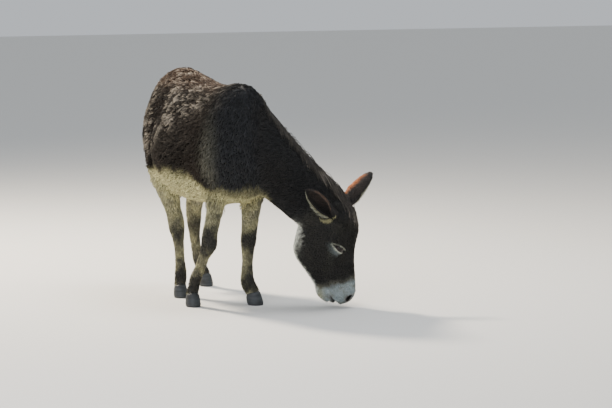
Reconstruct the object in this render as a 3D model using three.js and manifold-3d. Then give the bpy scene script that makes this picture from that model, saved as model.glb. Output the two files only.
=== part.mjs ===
// A donkey standing with its head down to graze, as a still life-size model.
// Millimetres, +X to the front of the trunk, +Y to the animal's left, +Z up, hoof soles on z = 0.
import * as THREE from "three";
import Module from "manifold-3d";

const wasm = await Module();
wasm.setup();

// ---- driving sizes --------------------------------------------------------
const WITHERS_HEIGHT = 1118; // top of the coat over the shoulder blades
const CROUP_HEIGHT = 1178;
const BACK_HEIGHT = 1112; // the lowest point of the back
const BELLY_HEIGHT = 508;
const BARREL_HALF_WIDTH = 268;
const RUMP_HALF_WIDTH = 194;
const CHEST_HALF_WIDTH = 196;

const HEAD_YAW = 54; // degrees the face is turned to the left of the trunk
const HEAD_ROLL = 9; // degrees the muzzle swings to the left under the poll
const POLL = [405, 512, 531]; // on the ridge of the head, between the ears

const EYE_RADIUS = 27;
const EYE_AT = { along: 206, under: 46, aside: 80 };
const EYE_CLEARANCE = 0.3;

const EAR_LENGTH = 238;
const EAR_HALF_WIDTH = 44;
const EAR_THICKNESS = 9;
const EAR_COLUMNS = 8;

const CANNON_RADIUS = 25;
const CUT = 0.4; // width of the parting gaps
const PARTED = 0.6; // how far the ears and the tail stand off the skin they grow from

const RING = 12; // facets round a limb
const TRUNK_RING = 22;
const NECK_RING = 20;
const HEAD_RING = 20;
const TAIL_RING = 10;
const EYE_ROWS = 8;
const EYE_RING = 12;
const NOSTRIL_ROWS = 6;
const NOSTRIL_RING = 10;
const STATIONS = 2; // rings of facets to each row of numbers
const HOOF_LEVELS = 3;
const MUSCLE_ROWS = 7;
const MUSCLE_RING = 12;

// ---- small helpers --------------------------------------------------------
const V = (x, y, z) => new THREE.Vector3(x, y, z);
const vec = (p) => V(p[0], p[1], p[2]);
const rad = THREE.MathUtils.degToRad;
const UP = V(0, 0, 1);

// Catmull-Rom through rows of numbers; u runs from 0 to rows.length - 1.
function along(rows, u) {
  const last = rows.length - 1;
  const i = Math.min(Math.floor(u), last - 1);
  const t = u - i;
  const pick = (k) => rows[Math.max(0, Math.min(last, k))];
  const [a, b, c, d] = [pick(i - 1), pick(i), pick(i + 1), pick(i + 2)];
  return b.map((_, k) => {
    const m1 = (c[k] - a[k]) / 2;
    const m2 = (d[k] - b[k]) / 2;
    const t2 = t * t;
    const t3 = t2 * t;
    return (2 * t3 - 3 * t2 + 1) * b[k] + (t3 - 2 * t2 + t) * m1 + (3 * t2 - 2 * t3) * c[k] + (t3 - t2) * m2;
  });
}

// Every ring has the same count of points; the ends are closed with a fan.
function loft(rings) {
  const n = rings[0].length;
  const points = [];
  const faces = [];
  for (const ring of rings) for (const p of ring) points.push(p);
  for (let i = 0; i + 1 < rings.length; i++)
    for (let j = 0; j < n; j++) {
      const a = i * n + j;
      const b = i * n + ((j + 1) % n);
      faces.push([a, b, a + n], [b, b + n, a + n]);
    }
  const cap = (first, flip) => {
    const centre = V(0, 0, 0);
    for (let j = 0; j < n; j++) centre.add(points[first + j]);
    const c = points.push(centre.divideScalar(n)) - 1;
    for (let j = 0; j < n; j++) {
      const a = first + j;
      const b = first + ((j + 1) % n);
      faces.push(flip ? [c, b, a] : [c, a, b]);
    }
  };
  cap(0, true);
  cap((rings.length - 1) * n, false);
  return solid(points, faces);
}

function solid(points, faces) {
  const vertProperties = new Float32Array(points.flatMap((p) => [p.x, p.y, p.z]));
  const make = (list) =>
    new wasm.Manifold(new wasm.Mesh({ numProp: 3, vertProperties, triVerts: new Uint32Array(list.flat()) }));
  const body = make(faces);
  return body.volume() > 0 ? body : make(faces.map(([a, b, c]) => [a, c, b]));
}

// A round-cornered section: fore/aft and two side halves, exponent 2 is an ellipse.
function section(centre, forward, side, size, count) {
  const { fore, aft, wide, power = 2, lift = 0 } = size;
  const ring = [];
  for (let j = 0; j < count; j++) {
    const angle = (2 * Math.PI * j) / count;
    const c = Math.cos(angle);
    const s = Math.sin(angle);
    const round = (v) => Math.sign(v) * Math.pow(Math.abs(v), 2 / power);
    const f = round(c) * (c > 0 ? fore : aft);
    const w = round(s) * wide * (1 + lift * c);
    ring.push(centre.clone().addScaledVector(forward, f).addScaledVector(side, w));
  }
  return ring;
}

// rows: x, y, z of the bone line, then reach to the front, to the back and to each side.
function limb(rows, { front = V(1, 0, 0), count = RING, lastNormal = null, power = 2.1, lift = 0 } = {}) {
  const total = (rows.length - 1) * STATIONS;
  const at = [];
  for (let i = 0; i <= total; i++) at.push(along(rows, i / STATIONS));
  const rings = at.map((row, i) => {
    const before = vec(at[Math.max(0, i - 1)]);
    const after = vec(at[Math.min(total, i + 1)]);
    const line = after.sub(before).normalize();
    if (i === total && lastNormal) line.copy(lastNormal);
    const side = V(0, 0, 0).crossVectors(line, front).normalize();
    const forward = V(0, 0, 0).crossVectors(side, line).normalize();
    return section(vec(row), forward, side, { fore: row[3], aft: row[4], wide: row[5], power, lift }, count);
  });
  return loft(rings);
}

const widened = (rows, grow) => rows.map(([x, y, z, ...reach]) => [x, y, z, ...reach.map((r) => r + grow)]);

function box(centre, x, y, z, hx, hy, hz) {
  const points = [];
  for (const k of [-1, 1])
    for (const [i, j] of [[-1, -1], [1, -1], [1, 1], [-1, 1]])
      points.push(
        centre.clone().addScaledVector(x, i * hx).addScaledVector(y, j * hy).addScaledVector(z, k * hz),
      );
  const faces = [[0, 2, 1], [0, 3, 2], [4, 5, 6], [4, 6, 7]];
  for (let i = 0; i < 4; i++) {
    const j = (i + 1) % 4;
    faces.push([i, j, i + 4], [j, j + 4, i + 4]);
  }
  return solid(points, faces);
}

// A thin flat slab through a point, square to a direction.
function slab(point, normal, reachA, reachB, lean = V(1, 0, 0)) {
  const z = normal.clone().normalize();
  const x = lean.clone().addScaledVector(z, -lean.dot(z)).normalize();
  const y = V(0, 0, 0).crossVectors(z, x);
  return box(point, x, y, z, reachA, reachB, CUT / 2);
}

function ball(centre, radii, axes, rows, count) {
  const [a, b, c] = axes;
  const rings = [];
  for (let i = 1; i < rows; i++) {
    const polar = (Math.PI * i) / rows;
    const ring = [];
    for (let j = 0; j < count; j++) {
      const turn = (2 * Math.PI * j) / count;
      ring.push(
        centre
          .clone()
          .addScaledVector(a, radii[0] * Math.cos(polar))
          .addScaledVector(b, radii[1] * Math.sin(polar) * Math.cos(turn))
          .addScaledVector(c, radii[2] * Math.sin(polar) * Math.sin(turn)),
      );
    }
    rings.push(ring);
  }
  return loft(rings);
}

const bump = (v, middle, spread) => Math.exp(-(((v - middle) / spread) ** 2));

// ---- trunk ----------------------------------------------------------------
// x, top, bottom, half width, height of the widest line, squareness
const TRUNK_ROWS = [
  [-842, 990, 880, 30, 935, 1.9],
  [-826, 1040, 780, 72, 915, 1.9],
  [-780, 1088, 690, 112, 890, 1.9],
  [-700, 1138, 630, 152, 870, 1.85],
  [-590, CROUP_HEIGHT - 8, 578, RUMP_HALF_WIDTH, 842, 1.85],
  [-480, CROUP_HEIGHT - 3, 534, 216, 815, 1.9],
  [-370, 1148, BELLY_HEIGHT + 6, 246, 792, 2.0],
  [-250, 1124, BELLY_HEIGHT, BARREL_HALF_WIDTH, 780, 2.05],
  [-120, BACK_HEIGHT, 510, 262, 780, 2.1],
  [0, BACK_HEIGHT + 2, 518, 236, 786, 2.1],
  [110, WITHERS_HEIGHT, 528, CHEST_HALF_WIDTH + 16, 788, 2.1],
  [210, 1134, 545, CHEST_HALF_WIDTH, 780, 2.1],
  [285, 1100, 586, 152, 765, 2.1],
  [330, 1004, 648, 104, 768, 2.05],
  [354, 900, 710, 60, 790, 2.0],
  [362, 866, 742, 38, 800, 2.0],
  [368, 826, 780, 12, 802, 2.0],
];

function trunkBody(grow = 0) {
  const total = (TRUNK_ROWS.length - 1) * STATIONS;
  const rings = [];
  for (let i = 0; i <= total; i++) {
    const [x, top, bottom, half, middle, power] = along(TRUNK_ROWS, i / STATIONS);
    const centre = V(x, 0, middle);
    rings.push(
      section(centre, UP, V(0, 1, 0), { fore: top - middle + grow, aft: middle - bottom + grow, wide: half + grow, power, lift: -0.06 }, TRUNK_RING),
    );
  }
  return loft(rings);
}

// ---- neck -----------------------------------------------------------------
// x, y, z of the middle line, then crest, throat and side reach
const NECK_ROWS = [
  [0, 0, 880, 215, 250, 150],
  [112, 32, 868, 226, 245, 182],
  [216, 120, 806, 158, 224, 180],
  [256, 206, 716, 130, 184, 136],
  [284, 292, 617, 132, 154, 98],
  [312, 358, 543, 138, 146, 82],
  [328, 398, 488, 140, 128, 72],
  [332, 418, 452, 126, 100, 62],
  [326, 432, 424, 88, 66, 46],
];

const neckBody = (grow = 0) => limb(widened(NECK_ROWS, grow), { front: UP, count: NECK_RING, power: 2.15, lift: -0.3 });

// ---- head -----------------------------------------------------------------
const ahead = V(Math.cos(rad(HEAD_YAW)), Math.sin(rad(HEAD_YAW)), 0);
const level = V(-Math.sin(rad(HEAD_YAW)), Math.cos(rad(HEAD_YAW)), 0);
const DOWN = V(0, 0, -1).multiplyScalar(Math.cos(rad(HEAD_ROLL))).addScaledVector(level, Math.sin(rad(HEAD_ROLL)));
const LEFT = level.clone().multiplyScalar(Math.cos(rad(HEAD_ROLL))).addScaledVector(UP, Math.sin(rad(HEAD_ROLL)));
const onHead = (down, out, left) =>
  vec(POLL).addScaledVector(DOWN, down).addScaledVector(ahead, out).addScaledVector(LEFT, left);

// down from the poll, ridge, under line, half width, share of the width at the ridge side
const HEAD_ROWS = [
  [-24, -56, -120, 38, 0.0],
  [-10, -20, -176, 66, 0.0],
  [30, 6, -222, 84, 0.0],
  [80, 25, -256, 96, -0.02],
  [130, 30, -273, 104, -0.04],
  [180, 21, -286, 107, -0.05],
  [230, 16, -296, 99, -0.04],
  [280, 12, -284, 85, 0.02],
  [330, 12, -252, 71, 0.08],
  [380, 14, -220, 61, 0.12],
  [425, 15, -197, 58, 0.1],
  [462, 11, -184, 56, 0.04],
  [490, -2, -164, 50, 0.0],
  [508, -26, -134, 38, 0.0],
  [517, -52, -106, 20, 0.0],
];

// Brows, cheeks, the hollow over the eye, nostril rims and lips as swellings of the head's side.
function headSwell(down, angle) {
  const side = Math.abs(Math.sin(angle));
  const above = Math.cos(angle);
  const brow = 0.1 * bump(down, 176, 44) * bump(above, 0.56, 0.3) * side;
  const temple = -0.07 * bump(down, 110, 34) * bump(above, 0.55, 0.3) * side;
  const cheek = 0.1 * bump(down, 175, 80) * bump(above, -0.5, 0.45) * side;
  const crest = 0.07 * bump(down, 262, 46) * bump(above, 0.1, 0.28) * side;
  const hollow = -0.07 * bump(down, 330, 50) * bump(above, -0.1, 0.5) * side;
  const nostril = 0.12 * bump(down, 462, 30) * bump(above, 0.62, 0.32) * side;
  const chin = 0.05 * bump(down, 470, 26) * bump(above, -0.85, 0.3);
  return 1 + brow + temple + cheek + crest + hollow + nostril + chin;
}

function headBody(grow = 0) {
  const total = (HEAD_ROWS.length - 1) * STATIONS;
  const rings = [];
  for (let i = 0; i <= total; i++) {
    const [down, ridge, under, half, lift] = along(HEAD_ROWS, i / STATIONS);
    const middle = ridge + (under - ridge) * 0.46;
    const centre = onHead(down, middle, 0);
    const size = { fore: ridge - middle + grow, aft: middle - under + grow, wide: half + grow, power: 2.3, lift };
    const ring = section(centre, ahead, LEFT, size, HEAD_RING);
    ring.forEach((p, j) => {
      const swell = headSwell(down, (2 * Math.PI * j) / HEAD_RING);
      p.sub(centre).multiplyScalar(swell).add(centre);
    });
    rings.push(ring);
  }
  return loft(rings);
}

// the lips stand a little apart: a wedge from its edge inside the mouth out past the lips
const MOUTH = { corner: 460, edge: -108, past: 552, lower: -138, upper: -98, aside: 90 };
function mouthCleft() {
  const points = [];
  for (const left of [-MOUTH.aside, MOUTH.aside])
    points.push(
      onHead(MOUTH.corner, MOUTH.edge, left),
      onHead(MOUTH.past, MOUTH.lower, left),
      onHead(MOUTH.past, MOUTH.upper, left),
    );
  return solid(points, [[0, 1, 2], [3, 5, 4], [0, 3, 4], [0, 4, 1], [1, 4, 5], [1, 5, 2], [2, 5, 3], [2, 3, 0]]);
}

const NOSTRIL = { down: 468, out: -30, aside: 57, size: [19, 10, 13] };
const nostril = (hand) =>
  ball(onHead(NOSTRIL.down, NOSTRIL.out, hand * NOSTRIL.aside), NOSTRIL.size, [
    DOWN.clone().addScaledVector(ahead, -0.5).normalize(),
    ahead.clone().addScaledVector(DOWN, 0.5).normalize(),
    LEFT,
  ], NOSTRIL_ROWS, NOSTRIL_RING);

const eyeCentre = (hand) => onHead(EYE_AT.along, -EYE_AT.under, hand * EYE_AT.aside);
const eyeBall = (hand, radius) => ball(eyeCentre(hand), [radius, radius, radius], [DOWN, ahead, LEFT], EYE_ROWS, EYE_RING);

// ---- ears -----------------------------------------------------------------
// Each ear is a leaf rolled round its long line, open to one side.
// share of the length, half width, half turn of the roll
const EAR_ROWS = {
  left: [
    [0, 27, 168],
    [0.14, 30, 160],
    [0.28, 38, 118],
    [0.42, EAR_HALF_WIDTH, 88],
    [0.58, EAR_HALF_WIDTH - 1, 78],
    [0.74, 38, 72],
    [0.88, 27, 66],
    [0.97, 14, 60],
    [1, 6, 60],
  ],
  // the right ear is rolled up tighter, so it is narrower
  right: [
    [0, 27, 168],
    [0.14, 29, 160],
    [0.28, 34, 132],
    [0.42, 37, 112],
    [0.58, 37, 100],
    [0.74, 33, 90],
    [0.88, 23, 78],
    [0.97, 11, 66],
    [1, 5, 60],
  ],
};

function ear(base, point, opening, curl, table) {
  const line = point.clone().sub(base).normalize();
  const mouth = opening.clone().addScaledVector(line, -opening.dot(line)).normalize();
  const across = V(0, 0, 0).crossVectors(line, mouth);
  const length = base.distanceTo(point);
  const cols = EAR_COLUMNS;
  const rows = table.length - 1;
  const sheet = (inset) => {
    const points = [];
    for (const [t, half, turn] of table) {
      const reach = rad(Math.min(90, turn));
      const radius = half / Math.sin(reach);
      const inner = Math.max(0.8, radius - inset * (1 - 0.5 * t));
      const rise = length * t - (inset > 0 && t > 0.9 ? 2.5 : 0) + (inset > 0 && t === 0 ? 2 : 0);
      for (let j = 0; j <= cols; j++) {
        const a = rad(turn) * ((2 * j) / cols - 1);
        const back = turn > 90 ? radius : radius * Math.cos(reach);
        const p = base.clone().addScaledVector(line, rise);
        p.addScaledVector(across, Math.sin(a) * inner);
        p.addScaledVector(mouth, back * (turn > 90 ? 0 : 1) - Math.cos(a) * inner + curl * t * t);
        points.push(p);
      }
    }
    return points;
  };
  const outer = sheet(0);
  const inner = sheet(EAR_THICKNESS);
  const m = cols + 1;
  const n = outer.length;
  const faces = [];
  for (let i = 0; i < rows; i++)
    for (let j = 0; j < cols; j++) {
      const a = i * m + j;
      faces.push([a, a + 1, a + m], [a + 1, a + m + 1, a + m]);
      faces.push([n + a, n + a + m, n + a + 1], [n + a + 1, n + a + m, n + a + m + 1]);
    }
  const rim = [];
  for (let j = 0; j < cols; j++) rim.push([j + 1, j], [rows * m + j, rows * m + j + 1]);
  for (let i = 0; i < rows; i++) rim.push([i * m, (i + 1) * m], [(i + 1) * m + cols, i * m + cols]);
  for (const [a, b] of rim) faces.push([a, b, n + a], [b, n + b, n + a]);
  return solid([...outer, ...inner], faces);
}

const EAR_ROOT = { left: { down: 26, out: -46, aside: 50 }, right: { down: 40, out: -72, aside: 80 } };
function earBase(hand) {
  const root = hand > 0 ? EAR_ROOT.left : EAR_ROOT.right;
  return onHead(root.down, root.out, hand * root.aside);
}
// direction of each ear in the head's own frame: up past the poll, to the face, to the outside
const EAR_AIM = {
  left: { up: 0.52, face: 0.47, out: 0.72, open: [-0.41, 0.3, 0.82] },
  right: { up: 0.67, face: -0.39, out: 0.63, open: [-0.62, 0.2, 1.06] },
};
function earPoint(hand, aim) {
  const way = DOWN.clone().multiplyScalar(-aim.up).addScaledVector(ahead, aim.face).addScaledVector(LEFT, hand * aim.out);
  return earBase(hand).addScaledVector(way.normalize(), EAR_LENGTH);
}
function earOpening(hand, aim) {
  const [up, face, out] = aim.open;
  return DOWN.clone().multiplyScalar(-up).addScaledVector(ahead, face).addScaledVector(LEFT, hand * out);
}
const EAR_CURL = -6;
function earSolid(hand, aim) {
  const table = hand > 0 ? EAR_ROWS.left : EAR_ROWS.right;
  return ear(earBase(hand), earPoint(hand, aim), earOpening(hand, aim), EAR_CURL, table);
}

// ---- legs -----------------------------------------------------------------
const C = CANNON_RADIUS;
const FORE_LEFT = [
  [130, 104, 800, 96, 90, 70],
  [128, 118, 700, 112, 104, 80],
  [84, 128, 615, 80, 86, 62],
  [52, 131, 530, 56, 58, 48],
  [30, 131, 440, 46, 46, 41],
  [12, 133, 372, 42, 40, 40],
  [6, 130, 322, 42, 38, 41],
  [0, 131, 276, 33, 33, 33],
  [-6, 132, 210, C + 1, C + 5, C + 2],
  [-8, 131, 150, C + 6, C + 10, C + 5],
  [2, 132, 116, 33, 43, 34],
  [21, 140, 84, 33, 42, 33],
  [32, 144, 60, 39, 38, 34],
];
const FORE_RIGHT = [
  [146, -80, 800, 96, 90, 70],
  [154, -86, 700, 104, 96, 76],
  [134, -88, 615, 72, 74, 58],
  [122, -92, 530, 51, 54, 44],
  [116, -109, 440, 43, 43, 38],
  [112, -123, 372, 42, 39, 39],
  [104, -124, 322, 45, 37, 41],
  [76, -133, 276, 31, 31, 29],
  [32, -138, 210, C, C + 4, C + 1],
  [-9, -147, 150, C + 5, C + 9, C + 4],
  [-28, -149, 116, 30, 36, 29],
  [-38, -153, 84, 30, 34, 30],
  [-36, -157, 60, 37, 37, 34],
];
const HIND_RIGHT = [
  [-585, -98, 840, 110, 100, 66],
  [-540, -122, 730, 142, 122, 74],
  [-478, -130, 630, 112, 112, 62],
  [-448, -123, 540, 78, 76, 51],
  [-438, -104, 460, 48, 52, 40],
  [-434, -88, 400, 44, 52, 42],
  [-430, -84, 350, 42, 44, 40],
  [-420, -79, 292, 30, 33, 29],
  [-411, -77, 220, C, C + 3, C],
  [-403, -75, 156, C + 3, C + 8, C + 3],
  [-398, -76, 118, 32, 38, 32],
  [-392, -80, 84, 31, 33, 30],
  [-387, -85, 60, 34, 35, 32],
];
const HIND_LEFT = [
  [-610, 98, 840, 110, 100, 66],
  [-620, 122, 730, 142, 132, 76],
  [-640, 130, 630, 112, 112, 66],
  [-680, 132, 540, 74, 76, 52],
  [-728, 136, 462, 50, 54, 42],
  [-752, 141, 405, 42, 50, 40],
  [-762, 144, 352, 40, 42, 38],
  [-769, 149, 294, 30, 33, 30],
  [-777, 160, 222, C, C + 4, C + 1],
  [-783, 175, 158, C + 5, C + 9, C + 4],
  [-783, 187, 120, 31, 36, 30],
  [-776, 199, 86, 30, 31, 29],
  [-770, 208, 60, 34, 34, 31],
];

// The meat of each shoulder and haunch: middle, then the way its long line leans forward, then reaches.
const MUSCLES = [
  { at: [112, 104, 802], lean: 0.28, reach: [252, 138, 119] },
  { at: [136, -84, 802], lean: 0.3, reach: [252, 128, 104] },
  { at: [-612, 94, 792], lean: -0.08, reach: [262, 168, 107] },
  { at: [-560, -94, 788], lean: 0.4, reach: [262, 168, 107] },
];
function muscle({ at, lean, reach }) {
  const long = V(lean, 0, -1).normalize();
  const across = V(1, 0, lean).normalize();
  return ball(vec(at), reach, [long, across, V(0, 1, 0)], MUSCLE_ROWS, MUSCLE_RING);
}

// A hoof is an oblique cone of horn that widens to a flat sole, most of all at the toe.
const TOE_FLARE = 13;
const SIDE_FLARE = 6;
function hoof(rows, turn) {
  const [x, y, z, fore, , wide] = rows[rows.length - 1];
  const face = V(Math.cos(rad(turn)), Math.sin(rad(turn)), 0);
  const side = V(-Math.sin(rad(turn)), Math.cos(rad(turn)), 0);
  const tilt = coronet(turn);
  const forward = V(0, 0, 0).crossVectors(side, tilt).normalize();
  if (forward.dot(face) < 0) forward.negate();
  const rings = [];
  const levels = HOOF_LEVELS;
  for (let i = 0; i <= levels; i++) {
    const t = i / levels;
    const size = { fore: fore + TOE_FLARE * t, aft: fore - 1 + 2 * t, wide: wide + SIDE_FLARE * t, power: 2.15 };
    const centre = V(x, y, z).addScaledVector(face, 13 * t);
    centre.addScaledVector(tilt, CUT * (1 - t));
    const ring = section(centre, forward, side, size, RING);
    for (const p of ring) p.z *= 1 - t;
    rings.push(ring);
  }
  return loft(rings);
}
// the plane of the hairline leans down to the heel
const CORONET_LEAN = 16;
function coronet(turn) {
  const face = V(Math.cos(rad(turn)), Math.sin(rad(turn)), 0);
  return V(0, 0, -Math.cos(rad(CORONET_LEAN))).addScaledVector(face, Math.sin(rad(CORONET_LEAN)));
}
const TOES = { FORE_LEFT: 34, FORE_RIGHT: -4, HIND_RIGHT: 2, HIND_LEFT: 14 };
const leg = (rows, turn, grow = 0) =>
  limb(widened(rows, grow), {
    front: V(Math.cos(rad(turn)), Math.sin(rad(turn)), 0),
    lastNormal: coronet(turn),
  });

// ---- tail -----------------------------------------------------------------
const TAIL_ROWS = [
  [-760, 0, 1076, 38, 38, 38],
  [-812, -3, 1052, 38, 38, 38],
  [-852, -12, 1002, 31, 31, 33],
  [-868, -26, 920, 26, 27, 29],
  [-866, -34, 830, 25, 26, 28],
  [-856, -28, 740, 27, 28, 29],
  [-842, -12, 655, 33, 34, 34],
  [-826, 6, 575, 36, 38, 37],
  [-812, 22, 505, 29, 31, 31],
  [-806, 30, 455, 10, 12, 12],
];

// ---- joining and parting ----------------------------------------------------
const LEGS = {
  foreleg_left: [FORE_LEFT, TOES.FORE_LEFT],
  foreleg_right: [FORE_RIGHT, TOES.FORE_RIGHT],
  hindleg_left: [HIND_LEFT, TOES.HIND_LEFT],
  hindleg_right: [HIND_RIGHT, TOES.HIND_RIGHT],
};

// A parting under a shoulder or a haunch, rising to the outside and to the back.
function limbCut(x, aside, z, outRise, backRise, reachX, reachY) {
  const hand = Math.sign(aside);
  return slab(V(x, aside, z), V(backRise, -hand * outRise, 1), reachX, reachY);
}
const LIMB_CUTS = [
  limbCut(60, 135, 556, 0.62, -0.12, 165, 120),
  limbCut(105, -112, 556, 0.62, -0.12, 165, 120),
  limbCut(-640, 140, 624, 0.62, 0.3, 235, 170),
  limbCut(-520, -140, 590, 0.62, 0.3, 265, 170),
];
// neck from trunk, from the front of the withers down past the right of the chest
const NECK_CUT = slab(V(240, 125, 840), V(0.653, 0.75, 0.104), 352, 262, UP);
// head from neck, behind the ears and the jaw
const HEAD_CUT = slab(V(306, 364, 520), V(0.33, 0.6, -0.73), 225, 135, UP);

const join = (pieces) => pieces.reduce((all, piece) => all.add(piece));
const cutBy = (body, cuts) => cuts.reduce((rest, cut) => rest.subtract(cut), body);
const byVolume = (body) => body.decompose().sort((a, b) => b.volume() - a.volume());
const lowest = (piece) => piece.boundingBox().min[2];

// The legs come off first, so that the neck can hang close by the left foreleg.
const [torso, ...limbs] = byVolume(
  cutBy(join([trunkBody(), ...MUSCLES.map(muscle), ...Object.values(LEGS).map(([rows, turn]) => leg(rows, turn))]), LIMB_CUTS),
);
function limbNear(rows) {
  const [x, y] = rows[rows.length - 4];
  const off = (piece) => {
    const { min, max } = piece.boundingBox();
    return lowest(piece) > 100 ? Infinity : Math.hypot((min[0] + max[0]) / 2 - x, (min[1] + max[1]) / 2 - y);
  };
  return limbs.slice().sort((a, b) => off(a) - off(b))[0];
}

const front = join([torso, neckBody().subtract(leg(FORE_LEFT, TOES.FORE_LEFT, PARTED)), headBody()]);
const sockets = [1, -1].map((hand) => eyeBall(hand, EYE_RADIUS + EYE_CLEARANCE));
const [trunk, ...upper] = byVolume(
  cutBy(front, [mouthCleft(), nostril(1), nostril(-1), ...sockets, NECK_CUT, HEAD_CUT]),
);
const [head, neck] = upper.slice(0, 2).sort((a, b) => lowest(a) - lowest(b));
const tail = byVolume(limb(TAIL_ROWS, { count: TAIL_RING }).subtract(trunkBody(PARTED)))[0];
const earPiece = (hand, aim) =>
  byVolume(earSolid(hand, aim).subtract(headBody(PARTED)).subtract(neckBody(PARTED)))[0];

// ---- meshes -----------------------------------------------------------------
const FINISH = {
  coat: { color: 0x2b2622, roughness: 0.95 },
  eye: { color: 0x0c0a09, roughness: 0.15 },
  horn: { color: 0x4d4a48, roughness: 0.75 },
};
function toMesh(name, piece, finish) {
  const m = piece.getMesh();
  const geometry = new THREE.BufferGeometry();
  geometry.setAttribute("position", new THREE.BufferAttribute(new Float32Array(m.vertProperties), 3));
  geometry.setIndex(new THREE.BufferAttribute(new Uint32Array(m.triVerts), 1));
  const mesh = new THREE.Mesh(geometry.toNonIndexed(), new THREE.MeshStandardMaterial(FINISH[finish]));
  mesh.name = name;
  return mesh;
}

const group = new THREE.Group();
group.add(toMesh("trunk", trunk, "coat"), toMesh("neck", neck, "coat"), toMesh("head", head, "coat"));
group.add(toMesh("tail", tail, "coat"));
group.add(toMesh("ear_left", earPiece(1, EAR_AIM.left), "coat"));
group.add(toMesh("ear_right", earPiece(-1, EAR_AIM.right), "coat"));
for (const [name, [rows, turn]] of Object.entries(LEGS)) {
  group.add(toMesh(name, limbNear(rows), "coat"));
  group.add(toMesh(name.replace("leg", "hoof"), hoof(rows, turn), "horn"));
}
group.add(toMesh("eye_left", eyeBall(1, EYE_RADIUS), "eye"));
group.add(toMesh("eye_right", eyeBall(-1, EYE_RADIUS), "eye"));

// the origin goes under the middle of the whole box
const box3 = new THREE.Box3().setFromObject(group);
const middle = box3.getCenter(V(0, 0, 0));
group.position.set(-middle.x, -middle.y, -box3.min.z);
group.updateMatrixWorld(true);

export default group;
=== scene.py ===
import math

import bpy
import numpy as np
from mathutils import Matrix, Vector
from mathutils.bvhtree import BVHTree
from mathutils.kdtree import KDTree


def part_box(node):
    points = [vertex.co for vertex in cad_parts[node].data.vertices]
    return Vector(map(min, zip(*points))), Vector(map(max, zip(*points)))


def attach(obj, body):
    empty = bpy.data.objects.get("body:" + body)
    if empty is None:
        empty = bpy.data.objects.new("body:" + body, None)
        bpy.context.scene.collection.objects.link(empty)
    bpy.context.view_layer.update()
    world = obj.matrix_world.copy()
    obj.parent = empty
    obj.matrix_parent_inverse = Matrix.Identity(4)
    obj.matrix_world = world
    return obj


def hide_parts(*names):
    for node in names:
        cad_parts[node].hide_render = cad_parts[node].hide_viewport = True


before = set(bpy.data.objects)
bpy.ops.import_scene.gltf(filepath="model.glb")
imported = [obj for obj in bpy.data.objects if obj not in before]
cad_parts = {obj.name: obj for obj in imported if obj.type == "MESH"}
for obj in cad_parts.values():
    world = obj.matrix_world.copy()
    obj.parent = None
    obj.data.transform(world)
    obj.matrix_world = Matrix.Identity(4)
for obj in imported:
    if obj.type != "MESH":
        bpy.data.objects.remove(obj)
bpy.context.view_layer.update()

MM = 0.001
HANDS = {"left": 1, "right": -1}
LEGS = ("foreleg_left", "foreleg_right", "hindleg_left", "hindleg_right")
HOOVES = ("forehoof_left", "forehoof_right", "hindhoof_left", "hindhoof_right")
FLESH = ("trunk", "neck", "head", "tail") + LEGS
EYES = ("eye_left", "eye_right")
EARS = ("ear_left", "ear_right")
PARTS = FLESH + EARS + HOOVES
GROUPS = {
    "legs": LEGS,
    "forelegs": LEGS[:2],
    "hindlegs": LEGS[2:],
    "hooves": HOOVES,
    "ears": EARS,
}

# ---- camera, light and floor ------------------------------------------------
CAMERA_AT = (14.0595, -5.93, 2.005)
CAMERA_TURN = 66.0  # degrees round the animal, from straight at its right side
CAMERA_PITCH = 5.68  # degrees below level
LENS = 176.5
SENSOR = 36  # mm
SIGHT = 100  # metres that the camera sees
FLOOR_SIZE = 60
LIGHT_AIM = Vector((0.0, 0.0, 0.6))
STUDIO_STRENGTH = 0.8


def linear(code):
    """An sRGB hex colour as linear RGB with alpha."""
    parts = [int(code[i : i + 2], 16) / 255 for i in (1, 3, 5)]
    return [c / 12.92 if c <= 0.04045 else ((c + 0.055) / 1.055) ** 2.4 for c in parts] + [1.0]


def add(tree, kind, values=None):
    """Adds a shader node; each value is a link from a socket, a field or an input's value."""
    node = tree.nodes.new("ShaderNode" + kind)
    for key, value in (values or {}).items():
        if isinstance(value, bpy.types.NodeSocket):
            tree.links.new(value, node.inputs[key])
        elif isinstance(key, str) and hasattr(node, key):
            setattr(node, key, value)
        else:
            node.inputs[key].default_value = value
    return node


def scaled(tree, colour, factor):
    """A colour made lighter or darker by a factor."""
    values = {"operation": "SCALE", "Vector": colour, "Scale": factor}
    return add(tree, "VectorMath", values).outputs["Vector"]


def new_material(name):
    material = bpy.data.materials.new(name)
    material.use_nodes = True
    material.node_tree.nodes.clear()
    return material, material.node_tree


def finish_material(tree, values):
    """Ends a material with a Principled shader that has these values and links."""
    shader = add(tree, "BsdfPrincipled", values)
    add(tree, "OutputMaterial", {"Surface": shader.outputs[0]})


camera_data = bpy.data.cameras.new("camera")
camera_data.lens = LENS
camera_data.sensor_width = SENSOR
camera_data.clip_end = SIGHT
camera = bpy.data.objects.new("camera", camera_data)
camera.location = CAMERA_AT
camera.rotation_euler = (math.radians(90 - CAMERA_PITCH), 0, math.radians(CAMERA_TURN))
bpy.context.collection.objects.link(camera)
bpy.context.scene.camera = camera


def area_light(name, place, size, power, colour):
    data = bpy.data.lights.new(name, "AREA")
    data.shape = "DISK"
    data.size = size
    data.energy = power
    data.color = linear(colour)[:3]
    lamp = bpy.data.objects.new(name, data)
    lamp.location = place
    lamp.rotation_euler = (LIGHT_AIM - Vector(place)).to_track_quat("-Z", "Y").to_euler()
    bpy.context.collection.objects.link(lamp)


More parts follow.
